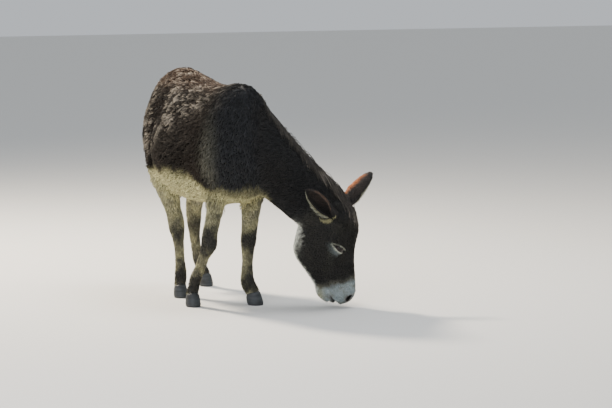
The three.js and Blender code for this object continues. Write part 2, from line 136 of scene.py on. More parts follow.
area_light("key_behind", (-3.7, -1.7, 4.7), 0.9, 930, "#fff1dc")
area_light("fill_front", (5.5, -4.5, 3.4), 4.0, 300, "#f4f7ff")
area_light("top_soft", (1.0, 1.5, 5.5), 3.0, 160, "#ffffff")
world = bpy.data.worlds.new("studio")
world.use_nodes = True
sky = world.node_tree.nodes["Background"].inputs
sky["Color"].default_value = linear("#dfe4ea")
sky["Strength"].default_value = STUDIO_STRENGTH
bpy.context.scene.world = world

bpy.ops.object.select_all(action="DESELECT")
bpy.ops.mesh.primitive_plane_add(size=FLOOR_SIZE, location=(0, 0, 0))
floor = bpy.context.object
floor.name = "floor"
floor_paint, tree = new_material("pale_floor_paint")
finish_material(tree, {"Base Color": linear("#d9d8d4"), "Roughness": 0.8})
floor.data.materials.append(floor_paint)


# ---- the animal's own frames --------------------------------------------------
def middle(node):
    low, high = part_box(node)
    return np.array((low + high) / 2)


HEAD_YAW = math.radians(54)
HEAD_ROLL = math.radians(9)
AHEAD = np.array([math.cos(HEAD_YAW), math.sin(HEAD_YAW), 0.0])
LEVEL = np.array([-math.sin(HEAD_YAW), math.cos(HEAD_YAW), 0.0])
UP = np.array([0.0, 0.0, 1.0])
HEAD_DOWN = -UP * math.cos(HEAD_ROLL) + LEVEL * math.sin(HEAD_ROLL)
HEAD_LEFT = LEVEL * math.cos(HEAD_ROLL) + UP * math.sin(HEAD_ROLL)
HEAD_AXES = np.array([HEAD_DOWN, AHEAD, HEAD_LEFT])
EYE_DOWN, EYE_UNDER = 206, 46  # mm from the poll to the line between the eyes
POLL_AT = np.array([0.405, 0.512, 0.531])  # metres from the middle between the fore hooves
EYE_AT = {hand: middle("eye_" + name) for name, hand in HANDS.items()}
POLL = (EYE_AT[1] + EYE_AT[-1]) / 2
POLL = POLL - HEAD_DOWN * EYE_DOWN * MM + AHEAD * EYE_UNDER * MM
ORIGIN = POLL - POLL_AT


def in_head(co):
    """Down from the poll, out of the face and to the left, in mm."""
    return (co - POLL) @ HEAD_AXES.T / MM


def on_head(down, out, left):
    return POLL + (HEAD_DOWN * down + AHEAD * out + HEAD_LEFT * left) * MM


def in_body(co):
    """Forward, left and up from between the fore hooves, in mm."""
    return (co - ORIGIN) / MM


def on_body(x, y, z):
    return ORIGIN + np.array([x, y, z]) * MM


def ease(value, low, high):
    """Rises smoothly from 0 at low to 1 at high."""
    t = np.clip((value - low) / (high - low), 0.0, 1.0)
    return t * t * (3 - 2 * t)


def hump(value, centre, spread):
    """1 at the centre, falling off smoothly on both sides."""
    return np.exp(-(((value - centre) / spread) ** 2))


def unit(v):
    return v / np.maximum(np.linalg.norm(v, axis=-1, keepdims=True), 1e-9)


CELL_SHIFT = 1000.5  # keeps the cells of the random patches positive


def lattice(i, j, k, seed):
    """A settled random value from 0 to 1 for each cell."""
    n = (i * 73856093) ^ (j * 19349663) ^ (k * 83492791) ^ (seed * 6542989)
    n = ((n ^ (n >> 13)) * 1274126177) & 0x7FFFFFFF
    n = ((n ^ (n >> 15)) * 668265263) & 0x7FFFFFFF
    return n / 0x7FFFFFFF


def cloud(co, size, seed):
    """Smooth random values from 0 to 1 with patches of the given size."""
    q = np.asarray(co) / size + CELL_SHIFT
    base = np.floor(q).astype(np.int64)
    f = q - base
    f = f * f * (3 - 2 * f)
    total = 0
    for a in (0, 1):
        for b in (0, 1):
            for c in (0, 1):
                weight = abs(1 - a - f[:, 0]) * abs(1 - b - f[:, 1]) * abs(1 - c - f[:, 2])
                corner = lattice(base[:, 0] + a, base[:, 1] + b, base[:, 2] + c, seed)
                total = total + weight * corner
    return total


# ---- the skin -------------------------------------------------------------------
VOXEL = 8.5 * MM
EAR_VOXEL = 2.6 * MM
OVERLAP = 1.2 * MM  # each part grows this much, so that the parting gaps close
MOST_LOST = 9 * MM
MERGE = 0.01 * MM
NEAR = 50 * MM  # parts farther off than this are not measured
REACH = 200 * MM
BROAD_ROUNDS = 34  # rounds of smoothing on the first skin


def only(*pieces):
    bpy.ops.object.select_all(action="DESELECT")
    for piece in pieces:
        piece.select_set(True)
    bpy.context.view_layer.objects.active = pieces[0]


def apply(piece, kind, **settings):
    only(piece)
    modifier = piece.modifiers.new(kind.lower(), kind)
    for key, value in settings.items():
        setattr(modifier, key, value)
    bpy.ops.object.modifier_apply(modifier=modifier.name)


def points_of(piece):
    co = np.empty(len(piece.data.vertices) * 3)
    piece.data.vertices.foreach_get("co", co)
    return co.reshape(-1, 3)


def normals_of(piece):
    no = np.empty(len(piece.data.vertices) * 3)
    piece.data.vertices.foreach_get("normal", no)
    return no.reshape(-1, 3)


def place_points(piece, co):
    piece.data.vertices.foreach_set("co", co.ravel())
    piece.data.update()


def pairs_of(piece):
    ends = np.empty(len(piece.data.edges) * 2, dtype=np.int32)
    piece.data.edges.foreach_get("vertices", ends)
    return ends.reshape(-1, 2)


def spread(values, pairs, rounds, share=0.5):
    """Each point takes on part of the mean of its neighbours, round after round."""
    values = np.array(values, dtype=float)
    flat = values.reshape(len(values), -1)
    count = np.bincount(pairs.ravel(), minlength=len(flat))[:, None]
    weight = np.reshape(share, (-1, 1)) if np.ndim(share) else share
    for _ in range(rounds):
        total = np.empty_like(flat)
        for k in range(flat.shape[1]):
            total[:, k] = np.bincount(pairs[:, 0], flat[pairs[:, 1], k], len(flat))
            total[:, k] += np.bincount(pairs[:, 1], flat[pairs[:, 0], k], len(flat))
        flat += weight * (total / np.maximum(count, 1) - flat)
    return flat.reshape(values.shape)


def flesh_of(node, grow):
    """A merged copy of a CAD node, grown a little."""
    piece = bpy.data.objects.new(node + "_flesh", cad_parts[node].data.copy())
    bpy.context.collection.objects.link(piece)
    only(piece)
    bpy.ops.object.mode_set(mode="EDIT")
    bpy.ops.mesh.select_all(action="SELECT")
    bpy.ops.mesh.remove_doubles(threshold=MERGE)
    bpy.ops.object.mode_set(mode="OBJECT")
    place_points(piece, points_of(piece) + normals_of(piece) * grow)
    return piece


def tree_of(piece):
    polygons = [tuple(p.vertices) for p in piece.data.polygons]
    return BVHTree.FromPolygons([v.co for v in piece.data.vertices], polygons)


flesh = {node: flesh_of(node, OVERLAP) for node in PARTS + EYES}
node_trees = {node: tree_of(flesh[node]) for node in PARTS}


def nearest_part(co, names):
    """The index of the part whose surface is nearest to each point."""
    best = np.full(len(co), 1e9)
    found = np.zeros(len(co), dtype=int)
    for index, name in enumerate(names):
        part = points_of(flesh[name])
        away = np.maximum(np.maximum(part.min(0) - co, co - part.max(0)), 0)
        for i in np.nonzero(np.linalg.norm(away, axis=1) < np.minimum(best, NEAR))[0]:
            distance = node_trees[name].find_nearest(Vector(co[i]), REACH)[3]
            if distance is not None and distance < best[i]:
                best[i] = distance
                found[i] = index
    return found


copies = []
for name in FLESH + EYES + HOOVES:
    twin = bpy.data.objects.new("skin_" + name, flesh[name].data.copy())
    bpy.context.collection.objects.link(twin)
    copies.append(twin)
only(*copies)
bpy.ops.object.join()
skin = bpy.context.object
skin.name = "skin"
apply(skin, "REMESH", mode="VOXEL", voxel_size=VOXEL)


def push_skin(swell):
    """Moves the skin out along its normals, by mm at each point."""
    place_points(skin, points_of(skin) + normals_of(skin) * (swell * MM)[:, None])


# broad forms are smoothed hard, the legs and the head lightly
labels = nearest_part(points_of(skin), FLESH)
pairs = pairs_of(skin)
broad = np.isin(labels, [FLESH.index("trunk"), FLESH.index("neck")]).astype(float)
broad = np.clip(spread(broad, pairs, 8), 0, 1)
place_points(skin, spread(points_of(skin), pairs, BROAD_ROUNDS, 0.06 + 0.5 * broad))


def select_points(piece, chosen):
    """Selects the faces whose points are all chosen, in edit mode."""
    only(piece)
    bpy.ops.object.mode_set(mode="EDIT")
    bpy.ops.mesh.select_mode(type="VERT")
    bpy.ops.mesh.select_all(action="DESELECT")
    bpy.ops.object.mode_set(mode="OBJECT")
    piece.data.vertices.foreach_set("select", chosen)
    bpy.ops.object.mode_set(mode="EDIT")
    bpy.ops.mesh.select_mode(type="FACE")


def halve(piece, chosen, rounds=2):
    """Halves the chosen faces and eases the new points."""
    before = points_of(piece)
    select_points(piece, chosen)
    bpy.ops.mesh.subdivide(number_cuts=1)
    bpy.ops.object.mode_set(mode="OBJECT")
    co = points_of(piece)
    near = np.zeros(len(co))
    near[: len(before)] = chosen
    near[len(before) :] = 1
    place_points(piece, spread(co, pairs_of(piece), rounds, near * 0.5))


halve(skin, labels == FLESH.index("head"))


def sunk(co, names):
    """How deep each point lies inside the nearest part, in metres."""
    found = nearest_part(co, names)
    depth = np.zeros(len(co))
    for i, index in enumerate(found):
        spot, normal, _, distance = node_trees[names[index]].find_nearest(Vector(co[i]), REACH)
        if spot is not None and (Vector(co[i]) - spot).dot(normal) < 0:
            depth[i] = distance
    return depth


# smoothing draws the round forms in, so they are pushed out again by what they lost
pairs = pairs_of(skin)
lost = np.minimum(sunk(points_of(skin), FLESH), MOST_LOST)
place_points(skin, points_of(skin) + normals_of(skin) * spread(lost, pairs, 12)[:, None])

# ---- eyes, nostrils and mouth: where they are ------------------------------------
EYE_RADIUS = 27.0
LID_THICK = 2.6
EYE_HALF = 26.0  # half the length of the opening
RIM_HALF = 44.0  # half the length of the dark rim round it
LID_LEVEL = -1.5  # the corners of the opening, from the middle of the eye
LID_TOP = 9.0  # rise of the upper lid and fall of the lower one
LID_BOTTOM = 8.0
EYE_AHEAD = 3.0  # the opening lies this far in front of the eye's middle


def eye_axes(hand):
    """Out of the eye, towards its front corner, and towards the upper lid."""
    outward = unit(HEAD_LEFT * hand * 0.95 + AHEAD * 0.28 - HEAD_DOWN * 0.02)
    front = HEAD_DOWN * 0.63 + AHEAD * 0.78
    front = unit(front - outward * (front @ outward))
    upper = np.cross(outward, front)
    if upper @ AHEAD < 0:
        upper = -upper
    return outward, front, upper


def eye_frame(co, hand):
    """Position round an eye in mm: along, above, outward; and the way out of its opening."""
    outward, front, upper = eye_axes(hand)
    away = (co - EYE_AT[hand]) / MM
    along, above, out = away @ front - EYE_AHEAD, away @ upper, away @ outward
    arch = np.sqrt(np.clip(1 - (along / EYE_HALF) ** 2, 0, 1))
    top = LID_LEVEL + LID_TOP * arch + 1.5 * arch * along / EYE_HALF
    bottom = LID_LEVEL - LID_BOTTOM * arch
    beyond = np.maximum(np.abs(along) - EYE_HALF, 0)
    gap = np.maximum(above - top, bottom - above)
    gap = np.where(beyond > 0, np.hypot(beyond, above - LID_LEVEL), gap)
    gap = np.where(out < 0, 99.0, gap)
    return along, above, out, gap


def rim_of_eye(along, above):
    """Distance in mm outside the dark bare rim of the lids, which runs out to both corners."""
    arch = 1 - np.clip(np.abs(along) / RIM_HALF, 0, 1) ** 2
    gap = np.maximum(above - LID_LEVEL - 14.0 * arch, LID_LEVEL - 11.0 * arch - above)
    beyond = np.maximum(np.abs(along) - RIM_HALF, 0)
    return np.where(beyond > 0, np.hypot(beyond, above - LID_LEVEL), gap)


NOSTRIL_AT = np.array([478, -17, 41])  # mm, in the frame of the head
NOSTRIL_SLANT = math.radians(34)


def nostril_frame(co, hand):
    """Position in the plane of a nostril in mm: along it, across it, and its round distance."""
    away = in_head(co) - NOSTRIL_AT * [1, 1, hand]
    along = away[:, 0] * math.cos(NOSTRIL_SLANT) - away[:, 1] * math.sin(NOSTRIL_SLANT)
    across = away[:, 0] * math.sin(NOSTRIL_SLANT) + away[:, 1] * math.cos(NOSTRIL_SLANT)
    comma = across - 3.5 * (along / 20) ** 2
    distance = np.hypot(along / 24, comma / 9.5)
    side = away[:, 2] * hand
    return along, comma, np.where(side < -26, 9.0, distance)


# finer faces round the nostrils and the eyes, in two steps
for zone_reach, eye_reach in ((52, 56), (30, 36)):
    co = points_of(skin)
    chosen = np.zeros(len(co), dtype=bool)
    for hand in HANDS.values():
        chosen |= np.linalg.norm(co - EYE_AT[hand], axis=1) < eye_reach * MM
        q = in_head(co) - NOSTRIL_AT * [1, 1, hand]
        chosen |= (np.linalg.norm(q, axis=1) < zone_reach) & (q[:, 2] * hand > -30)
    halve(skin, chosen, 1)

ALL_ROUND = (-2, -1)  # for a form that runs across the middle of the head
HEAD_FORMS = (  # mm out; down and its spread; out of the face and its spread; side from, to
    (6.0, 168, 26, -6, 22, 40, 80),  # bony brow
    (-6.5, 120, 24, -20, 24, 35, 70),  # hollow above the eye
    (4.0, 175, 62, -180, 62, 30, 60),  # round of the cheek
    (-4.0, 360, 62, -26, 13, 24, 44),  # beside the nose bone
    (3.5, 455, 24, -150, 24, *ALL_ROUND),  # chin
    (-3.5, 405, 26, -186, 30, *ALL_ROUND),  # chin groove
    (2.5, 480, 20, -70, 26, *ALL_ROUND),  # upper lip
)

# the flesh of the head as swellings and hollows
co = points_of(skin)
down, out, left = in_head(co).T
side = np.abs(left)
is_head = ease(down, -30, 20) * (nearest_part(co, FLESH) == FLESH.index("head"))
pairs = pairs_of(skin)
is_head = spread(is_head, pairs, 6)
swell = np.zeros(len(co))
for amount, low_at, long, out_at, wide, start, end in HEAD_FORMS:
    swell += amount * hump(down, low_at, long) * hump(out, out_at, wide) * ease(side, start, end)
crest_line = -62 - 0.22 * (down - 230)  # the facial crest, and the hollow under it
swell += 4.5 * hump(out, crest_line, 9) * hump(down, 290, 60) * ease(side, 30, 50)
swell -= 3.0 * hump(out, crest_line - 26, 16) * hump(down, 320, 60) * ease(side, 30, 50)
push_skin(swell * is_head)


def flank_share(co):
    """1 in the crease behind the barrel and in front of the thigh."""
    x, _, z = in_body(co).T
    crease = hump(x, -488 + 0.2 * (z - 780), 46)
    return crease * ease(z, 580, 680) * (1 - ease(z, 880, 980))


# hips, the hollow and the crease of the flank, shoulder points and the dip behind the elbows
co = points_of(skin)
x, y, z = in_body(co).T
aside = np.abs(y)
swell = 9.0 * hump(x, -430, 46) * hump(aside, 160, 50) * hump(z, 1046, 44)
swell -= 18.0 * hump(x, -405, 74) * hump(z, 968, 78) * ease(aside, 90, 170)
swell -= 22.0 * flank_share(co) * ease(aside, 110, 180)
swell += 8.0 * hump(x, 262, 50) * hump(z, 745, 60) * ease(aside, 60, 120)
swell -= 5.0 * hump(x, 20, 34) * hump(z, 700, 120) * ease(aside, 80, 150)
push_skin(swell)


# ---- coat depth and the shares of each part ---------------------------------------
def shares_of(co, pairs):
    """How much each part of the body counts at each point, softly blended."""
    found = nearest_part(co, PARTS)
    hard = np.zeros((len(co), len(PARTS)))
    hard[np.arange(len(co)), found] = 1
    soft = dict(zip(PARTS, spread(hard, pairs, 10).T))
    return soft | {group: sum(soft[name] for name in names) for group, names in GROUPS.items()}


def coat_depth(co, share):
    """The depth of the coat in mm."""
    x, _, z = in_body(co).T
    down = in_head(co)[:, 0]
    woolly = ease(-x, -160, 20)
    trunk = 8.5 + 4.0 * woolly + 3.0 * ease(-z, -640, -540)
    leg = 3.0 + 4.0 * ease(z, 330, 620) + 1.5 * hump(z, 105, 22)
    head = 4.0 - 2.6 * ease(down, 385, 450) + 1.5 * ease(-down, -70, 20)
    tail = 7.0 + 9.0 * ease(-z, -820, -620)
    depth = share["trunk"] * trunk + share["neck"] * 7.5
    depth = depth + share["head"] * head + share["tail"] * tail
    depth = depth + share["legs"] * leg + share["hooves"] * 9.0
    return depth + share["ears"] * 1.6


pairs = pairs_of(skin)
co = points_of(skin)
share = shares_of(co, pairs)
depth = coat_depth(co, share) + OVERLAP / MM
co = co - normals_of(skin) * (depth * MM)[:, None]
place_points(skin, spread(co, pairs, 2, 0.4 * (1 - share["head"])))

# ---- lids, nostrils and lips -------------------------------------------------------
co = points_of(skin)
for hand in HANDS.values():
    centre = EYE_AT[hand]
    along, above, out, gap = eye_frame(co, hand)
    reach = np.linalg.norm(co - centre, axis=1) / MM
    way = unit(co - centre)
    upper = ease(above, -2, 6)
    fold = -1.5 * hump(gap, 9.5, 2.2) * upper - 1.0 * hump(gap, 6.0, 1.6) * (1 - upper)
    fold += -0.9 * hump(gap, 12.0, 2.0) * (1 - upper) + 0.9 * hump(gap, 2.0, 1.6)
    lid = EYE_RADIUS + LID_THICK + fold + 0.05 * np.maximum(gap - 8, 0) ** 1.2
    blend = 1 - ease(gap, 10, 34)
    target = reach + (lid - reach) * blend
    inside = ease(-gap, -0.8, 0.8)
    target = target + (EYE_RADIUS - 6 - target) * inside
    moved = (gap < 40) & (reach < 70)
    co[moved] = (centre + way * (target * MM)[:, None])[moved]
    along, comma, distance = nostril_frame(co, hand)
    pit = (1 - ease(distance, 0.45, 1.0)) * 17.0
    rim = 3.6 * hump(distance, 1.32, 0.3)
    crease = -1.6 * hump(distance, 2.05, 0.2) * (comma < 0)
    push = -HEAD_LEFT * hand * 0.85 - AHEAD * 0.45 - HEAD_DOWN * 0.15
    co += push * (pit * MM)[:, None] - push * ((rim + crease) * MM)[:, None]
place_points(skin, co)

MOUTH_LINE = ((520, -78), (500, -86), (478, -98), (460, -108), (436, -117))


def mouth_gap(down, out):
    """Distance in mm from the line where the lips meet."""
    best = np.full(len(down), 1e3)
    for (d0, o0), (d1, o1) in zip(MOUTH_LINE, MOUTH_LINE[1:]):
        t = ((down - d0) * (d1 - d0) + (out - o0) * (o1 - o0)) / ((d1 - d0) ** 2 + (o1 - o0) ** 2)
        t = np.clip(t, 0, 1)
        best = np.minimum(best, np.hypot(down - d0 - t * (d1 - d0), out - o0 - t * (o1 - o0)))
    return np.maximum(best - 11.0 * ease(down, 474, 514), 0)  # the lips stand apart at the front


co = points_of(skin)
down, out, left = in_head(co).T
lips = mouth_gap(down, out)
open_lips = 1 - 0.6 * ease(-down, -500, -430) + 0.9 * ease(down, 478, 505)
swell = -7.5 * hump(lips, 0, 4.2) * open_lips + 2.2 * hump(lips, 9, 4.5)
near_mouth = ease(down, 410, 430) * (share["head"] > 0.5)
wrinkles = np.sin(down / 2.6 + out / 9) * hump(out, -62, 22) * hump(down, 452, 20)
swell = swell + 0.35 * wrinkles
push_skin(swell * near_mouth)

# ---- ears: fine meshes of their own, joined to the head -----------------------------
EAR_LENGTH = 238
EAR_STRETCH = 8.0  # makes up for the tip that the remesh takes off
EAR_ROOTS = {"ear_left": (26, -46, 50), "ear_right": (40, -72, -80)}
EAR_AIMS = {"ear_left": (-0.52, 0.47, 0.72), "ear_right": (-0.67, -0.39, -0.63)}
EAR_OPENINGS = {"ear_left": (0.41, 0.3, 0.82), "ear_right": (0.62, 0.2, -1.06)}
EAR_ROWS = {  # share of the length, half width in mm, half turn of the roll in degrees
    "ear_left": (
        (0, 27, 168),
        (0.14, 30, 160),
        (0.28, 38, 118),
        (0.42, 44, 88),
        (0.58, 43, 78),
        (0.74, 38, 72),
        (0.88, 27, 66),
        (0.97, 14, 60),
        (1, 6, 60),
    ),
    "ear_right": (
        (0, 27, 168),
        (0.14, 29, 160),
        (0.28, 34, 132),
        (0.42, 37, 112),
        (0.58, 37, 100),
        (0.74, 33, 90),
        (0.88, 23, 78),
        (0.97, 11, 66),
        (1, 5, 60),
    ),
}


def ear_axes(name):
    """Root, long line, way of the opening, and across."""
    root = on_head(*EAR_ROOTS[name])
    line = unit(np.array(EAR_AIMS[name]) @ HEAD_AXES)
    opening = np.array(EAR_OPENINGS[name]) @ HEAD_AXES
    opening = unit(opening - line * (opening @ line))
    return root, line, opening, np.cross(line, opening)


def in_ear(co, name):
    """Share of the length, across and towards the opening in mm."""
    root, line, opening, across = ear_axes(name)
    away = (co - root) / MM
    return away @ line / EAR_LENGTH, away @ across, away @ opening


def ear_rim(name, t, edge, inset=0.0):
    """A point on the rim of an ear; edge is -1 or 1, and less than that lies inside the roll."""
    root, line, opening, across = ear_axes(name)
    steps, halves, turns = zip(*EAR_ROWS[name])
    half = np.interp(t, steps, halves)
    turn = np.interp(t, steps, turns)
    reach = np.radians(np.minimum(90, turn))
    radius = half / np.sin(reach)
    angle = np.radians(turn) * edge
    back = np.where(turn > 90, 0, radius * np.cos(reach))
    inner = radius - inset
    aside = np.sin(angle) * inner
    forward = back - np.cos(angle) * inner - 6 * t * t
    spot = root + line * (t * EAR_LENGTH * MM)[:, None]
    return spot + across * (aside * MM)[:, None] + opening * (forward * MM)[:, None]


for name in EARS:
    ear = bpy.data.objects.new("fine_" + name, flesh[name].data.copy())
    bpy.context.collection.objects.link(ear)
    apply(ear, "REMESH", mode="VOXEL", voxel_size=EAR_VOXEL)
    place_points(ear, spread(points_of(ear), pairs_of(ear), 4))
    co = points_of(ear)
    root, line, opening, across = ear_axes(name)
    t = in_ear(co, name)[0]
    co = co + line * (ease(t, 0.5, 1.0) * EAR_STRETCH * MM)[:, None]
    sink = ease(-t, -0.2, 0.0)
    co = co - line * (sink * 26 * MM)[:, None]
    co = co - (opening * (sink * in_ear(co, name)[2] * 0.3 * MM)[:, None])
    place_points(ear, co)
    apply(skin, "BOOLEAN", object=ear, operation="UNION", solver="MANIFOLD")
    bpy.data.objects.remove(ear)

co = points_of(skin)
pairs = pairs_of(skin)
share = shares_of(co, pairs)
seam = np.zeros(len(co))
for name in EARS:
    t = in_ear(co, name)[0]
    near = np.linalg.norm(co - ear_axes(name)[0], axis=1) / MM
    seam = np.maximum(seam, (1 - ease(near, 34, 56)) * (1 - ease(t, 0.12, 0.24)))
place_points(skin, spread(co, pairs, 10, 0.5 * seam))
only(skin)
bpy.ops.object.shade_smooth()

# ---- markings, and painted light and shade -----------------------------------------
PALETTE = {
    "body": "#221f1c",  # nearly black brown
    "smooth": "#28292b",
    "neck": "#141516",  # shoulder and neck, blacker and cooler
    "bleach_and_highlight": "#bfb6a7",  # tips of the woolly coat and of the long hair, faded by the sun, and paler still as a painted highlight
    "russet": "#543d2d",
    "cream": "#b2ad82",
    "grey": "#7b796a",
    "leg_dark": "#2c2b27",
    "face": "#1e1c19",
    "muzzle": "#99a5a6",
    "jaw": "#e9ebdf",
    "ring": "#c3c4b0",
    "bare": "#120f0d",  # lids, nostrils and lips; also painted shade in the hollow and crease of the flank and inside the ears
    "lip": "#4b4543",
    "ear_back": "#1d1815",
    "ear_rim": "#68503f",
    "sunlit": "#c27038",
    "mane": "#15110f",
    "eye_white": "#1d1512",
    "iris": "#1f150e",
    "pupil": "#070504",
}
PALETTE = {name: np.array(linear(code)[:3]) for name, code in PALETTE.items()}

# which edge of each ear lies uppermost: 1 or -1 across it
EAR_UPPER = {}
for name in EARS:
    one, other = (ear_rim(name, np.array([0.5]), np.array([edge]))[0][2] for edge in (1.0, -1.0))
    EAR_UPPER[name] = 1.0 if one > other else -1.0


def mix(low, high, share):
    """Between two colours, each given as numbers or by its name in the palette."""
    low, high = (PALETTE[c] if isinstance(c, str) else c for c in (low, high))
    return low + (high - low) * np.clip(share, 0, 1)[:, None]


def hollow_share(co):
    """1 in the smooth hollow of the flank, behind the last rib, which is painted dark as shade; half as much
    on the left side.
    """
    x, y, z = in_body(co).T
    away = ((x + 404 + 1.0 * (z - 985)) / 134) ** 2 + ((z - 974) / 92) ** 2
    return (1 - ease(away, 0.55, 1.25)) * (ease(-y, 100, 150) + 0.5 * ease(y, 100, 150))


def woolly_share(co):
    """1 where the coat stands in woolly locks with pale tips, faded by the sun and with painted highlight
    and shade: croup, haunch, back and upper barrel.
    """
    x, _, z = in_body(co).T
    floor_line = 750 + 0.38 * (x + 500) + 70 * (cloud(co / MM, 90, 3) - 0.5)
    share = ease(z, floor_line - 55, floor_line + 75)
    share = share * (1 - ease(x + 110 * (cloud(co / MM, 60, 53) - 0.5), 110, 275))
    return share * (1 - hollow_share(co)) * (1 - 0.8 * ease(-x, 690, 800)) * (1 - flank_share(co))


def cream_share(co):
    """1 on the pale belly, brisket and inner thighs."""
    x, _, z = in_body(co).T
    line = 690 - 88 * ease(x, 30, 190) - 40 * ease(-x, 380, 620)
    line = line + 44 * (cloud(co / MM, 60, 5) - 0.5)
    return 1 - ease(z, line - 42, line + 34)


JAW_LINE = ((80, 250), (130, 268), (180, 281), (230, 290), (280, 278), (330, 246), (380, 214), (430, 192))


def coat_colour(co, normals, share):
    """The colour of the coat at its roots' place, in linear RGB."""
    x, y, z = in_body(co).T
    down, out, _ = in_head(co).T
    mottle = cloud(co / MM, 26, 7)
    fine = cloud(co / MM, 9, 11)
    broad_patch = cloud(co / MM, 130, 13)

    trunk = mix("body", "smooth", ease(x, 150, 290))
    # painted highlight: a grey band down the side of the shoulder, where its edge catches the light, broken
    # into patches
    shoulder_highlight = hump(x, 232, 48) * ease(np.abs(y), 110, 160) * hump(z, 800, 150)
    trunk = mix(trunk, "grey", 0.5 * shoulder_highlight * (0.4 + broad_patch))
    # painted shade: the hollow and the crease of the flank are darkened nearly to black
    trunk = mix(trunk, "bare", 0.9 * hollow_share(co) + 0.8 * flank_share(co))
    trunk = mix(trunk, "russet", 0.30 * ease(z, 1050, 1110) * (1 - ease(x, 60, 200)))
    trunk = mix(trunk, "russet", 0.07 * broad_patch * (1 - ease(x, 100, 240)))
    trunk = mix(trunk, "cream", cream_share(co))

    neck = mix("neck", "body", 0.5 * broad_patch)

    # legs: dark at the knees and fetlocks, pale behind and inside; darker in front, partly the hair's own
    # colour and partly painted shade on the faces turned from the light behind
    fore = share["forelegs"] > share["hindlegs"]
    joint = np.where(fore, 0.85 * hump(z, 335, 58), 0.5 * hump(z, 380, 70))
    facing = normals[:, 0]
    outer = normals[:, 1] * np.where(y > 20, 1, -1)
    # painted shade, in part: the more a face looks forward, the darker
    dark = 0.40 + 0.28 * facing + 0.08 * outer + 0.5 * joint + 0.45 * hump(z, 112, 50)
    dark = dark + 0.42 * (mottle - 0.5) + 0.35 * (fine - 0.5) - 0.10 * hump(z, 225, 50)
    dark = dark - np.where(fore, 0.16 * ease(z, 385, 440), 0.42 * ease(z, 310, 400))
    dark = dark - 0.3 * ease(y, 20, 60) * ease(z, 340, 430)
    leg = mix("cream", "grey", 0.45 + 0.9 * (mottle - 0.5))
    leg = mix(leg, "leg_dark", ease(dark, 0.05, 1.0))
    shoulder = ease(outer, -0.1, 0.5) * ease(z, 505, 590)
    leg = mix(leg, "body", 0.92 * shoulder * fore)
    back_strip = ease(-x, 640, 700) * ease(z, 520, 640)
    leg = mix(leg, "body", 0.75 * back_strip * ~fore)

    # face: pale muzzle, pale rings round the eyes, a pale patch behind the jaw
    to_neck = 0.5 * broad_patch + 0.6 * ease(-down, -90, 0)
    head = mix("face", "neck", to_neck)
    cheek_patch = ease(cloud(co / MM, 46, 59), 0.45, 0.8) * (1 - ease(out, -40, 0))
    head = mix(head, "grey", 0.05 * cheek_patch + 0.04 * fine)
    edge = 380 + 0.31 * np.clip(-out, 0, 220) + 20 * (cloud(co / MM, 22, 17) - 0.5)
    head = mix(head, "bare", 0.45 * hump(down, edge - 62, 42))
    head = mix(head, "grey", 0.5 * ease(down, edge - 32, edge))
    head = mix(head, "muzzle", ease(down, edge - 10, edge + 20))
    smudge = 0.4 * ease(mottle, 0.5, 0.75) + 0.3 * ease(fine, 0.6, 0.8) + 0.25 * ease(down, 470, 505)
    head = mix(head, "grey", smudge * ease(down, edge, edge + 30))
    warm = ease(-out, 120, 165) * ease(down, edge - 20, edge + 30)
    head = mix(head, "cream", 0.65 * warm)
    jaw = ease(-out + 46 * (fine - 0.5), 214, 262) * hump(down, 132, 66)
    head = mix(head, "jaw", jaw)
    edge_line = np.interp(down, *zip(*JAW_LINE))
    under = ease(-out - edge_line + 14 * (fine - 0.5), -28, -8) * ease(down, 70, 120)
    head = mix(head, "jaw", 0.95 * under)
    for hand in HANDS.values():
        along, above, outward, _ = eye_frame(co, hand)
        edge_gap = rim_of_eye(along, above)
        upper = ease(above, -4, 3)
        facing_out = outward > 0
        ring = upper * hump(edge_gap, 3.6, 2.8) * 0.7 + (1 - upper) * hump(edge_gap, 2.6, 3.2)
        pouch = ease(-above, -6, 6) * (1 - ease(edge_gap, 6, 40)) * hump(along, 2, 52)
        head = mix(head, "muzzle", 0.5 * pouch * facing_out)
        head = mix(head, "ring", ring * facing_out * (0.5 + 0.9 * fine))
        head = mix(head, "bare", (1 - ease(edge_gap, -0.5, 1.6)) * facing_out)
        nostril = nostril_frame(co, hand)[2]
        head = mix(head, "lip", 0.7 * (1 - ease(nostril, 1.1, 1.9)))
        head = mix(head, "bare", 1 - ease(nostril, 0.85, 1.15))
    lips = mouth_gap(down, out)
    head = mix(head, "lip", 0.75 * (1 - ease(lips, 3, 12)) * ease(down, 450, 480))
    head = mix(head, "bare", (1 - ease(lips, 1.5, 4.5)) * ease(down, 456, 482))

    ears = np.zeros_like(head)
    for name in EARS:
        t, aside, forward = in_ear(co, name)
        steps, halves, _ = zip(*EAR_ROWS[name])
        half = np.interp(t, steps, halves)
        one = mix("ear_back", "ear_rim", 0.15 * mottle)
        # painted shade inside the opening of the ear
        within = ease(forward, -26, -12)
        one = mix(one, "bare", 0.8 * within)
        rim = ease(np.abs(aside) / half, 0.86, 1.0) * ease(t, 0.3, 0.5)
        one = mix(one, "ear_rim", 0.5 * rim * (aside * EAR_UPPER[name] > 0))
        if name == "ear_left":  # the sun shines through its upper edge
            glow = ease(aside * EAR_UPPER[name] / half + 0.5 * (mottle - 0.5), -0.25, 0.7)
            one = mix(one, "sunlit", 0.95 * glow * (1 - 0.7 * within))
        one = mix(one, "bare", 0.85 * ease(t, 0.82, 0.93))
        mine = share[name]
        ears = ears + one * (mine / np.maximum(share["ears"], 1e-6))[:, None]

    tail = mix("body", "russet", 0.5 * ease(z, 960, 1060))
    colour = trunk * share["trunk"][:, None] + neck * share["neck"][:, None]
    colour = colour + head * share["head"][:, None]
    colour = colour + leg * (share["legs"] + share["hooves"])[:, None]
    colour = colour + ears * share["ears"][:, None] + tail * share["tail"][:, None]
    return colour


# ---- the lie of the coat -------------------------------------------------------------
NECK_LINE = unit(np.array([0.256, 0.636, -0.728]))  # from the withers to the head
NECK_CREST = unit(UP - NECK_LINE * (UP @ NECK_LINE))


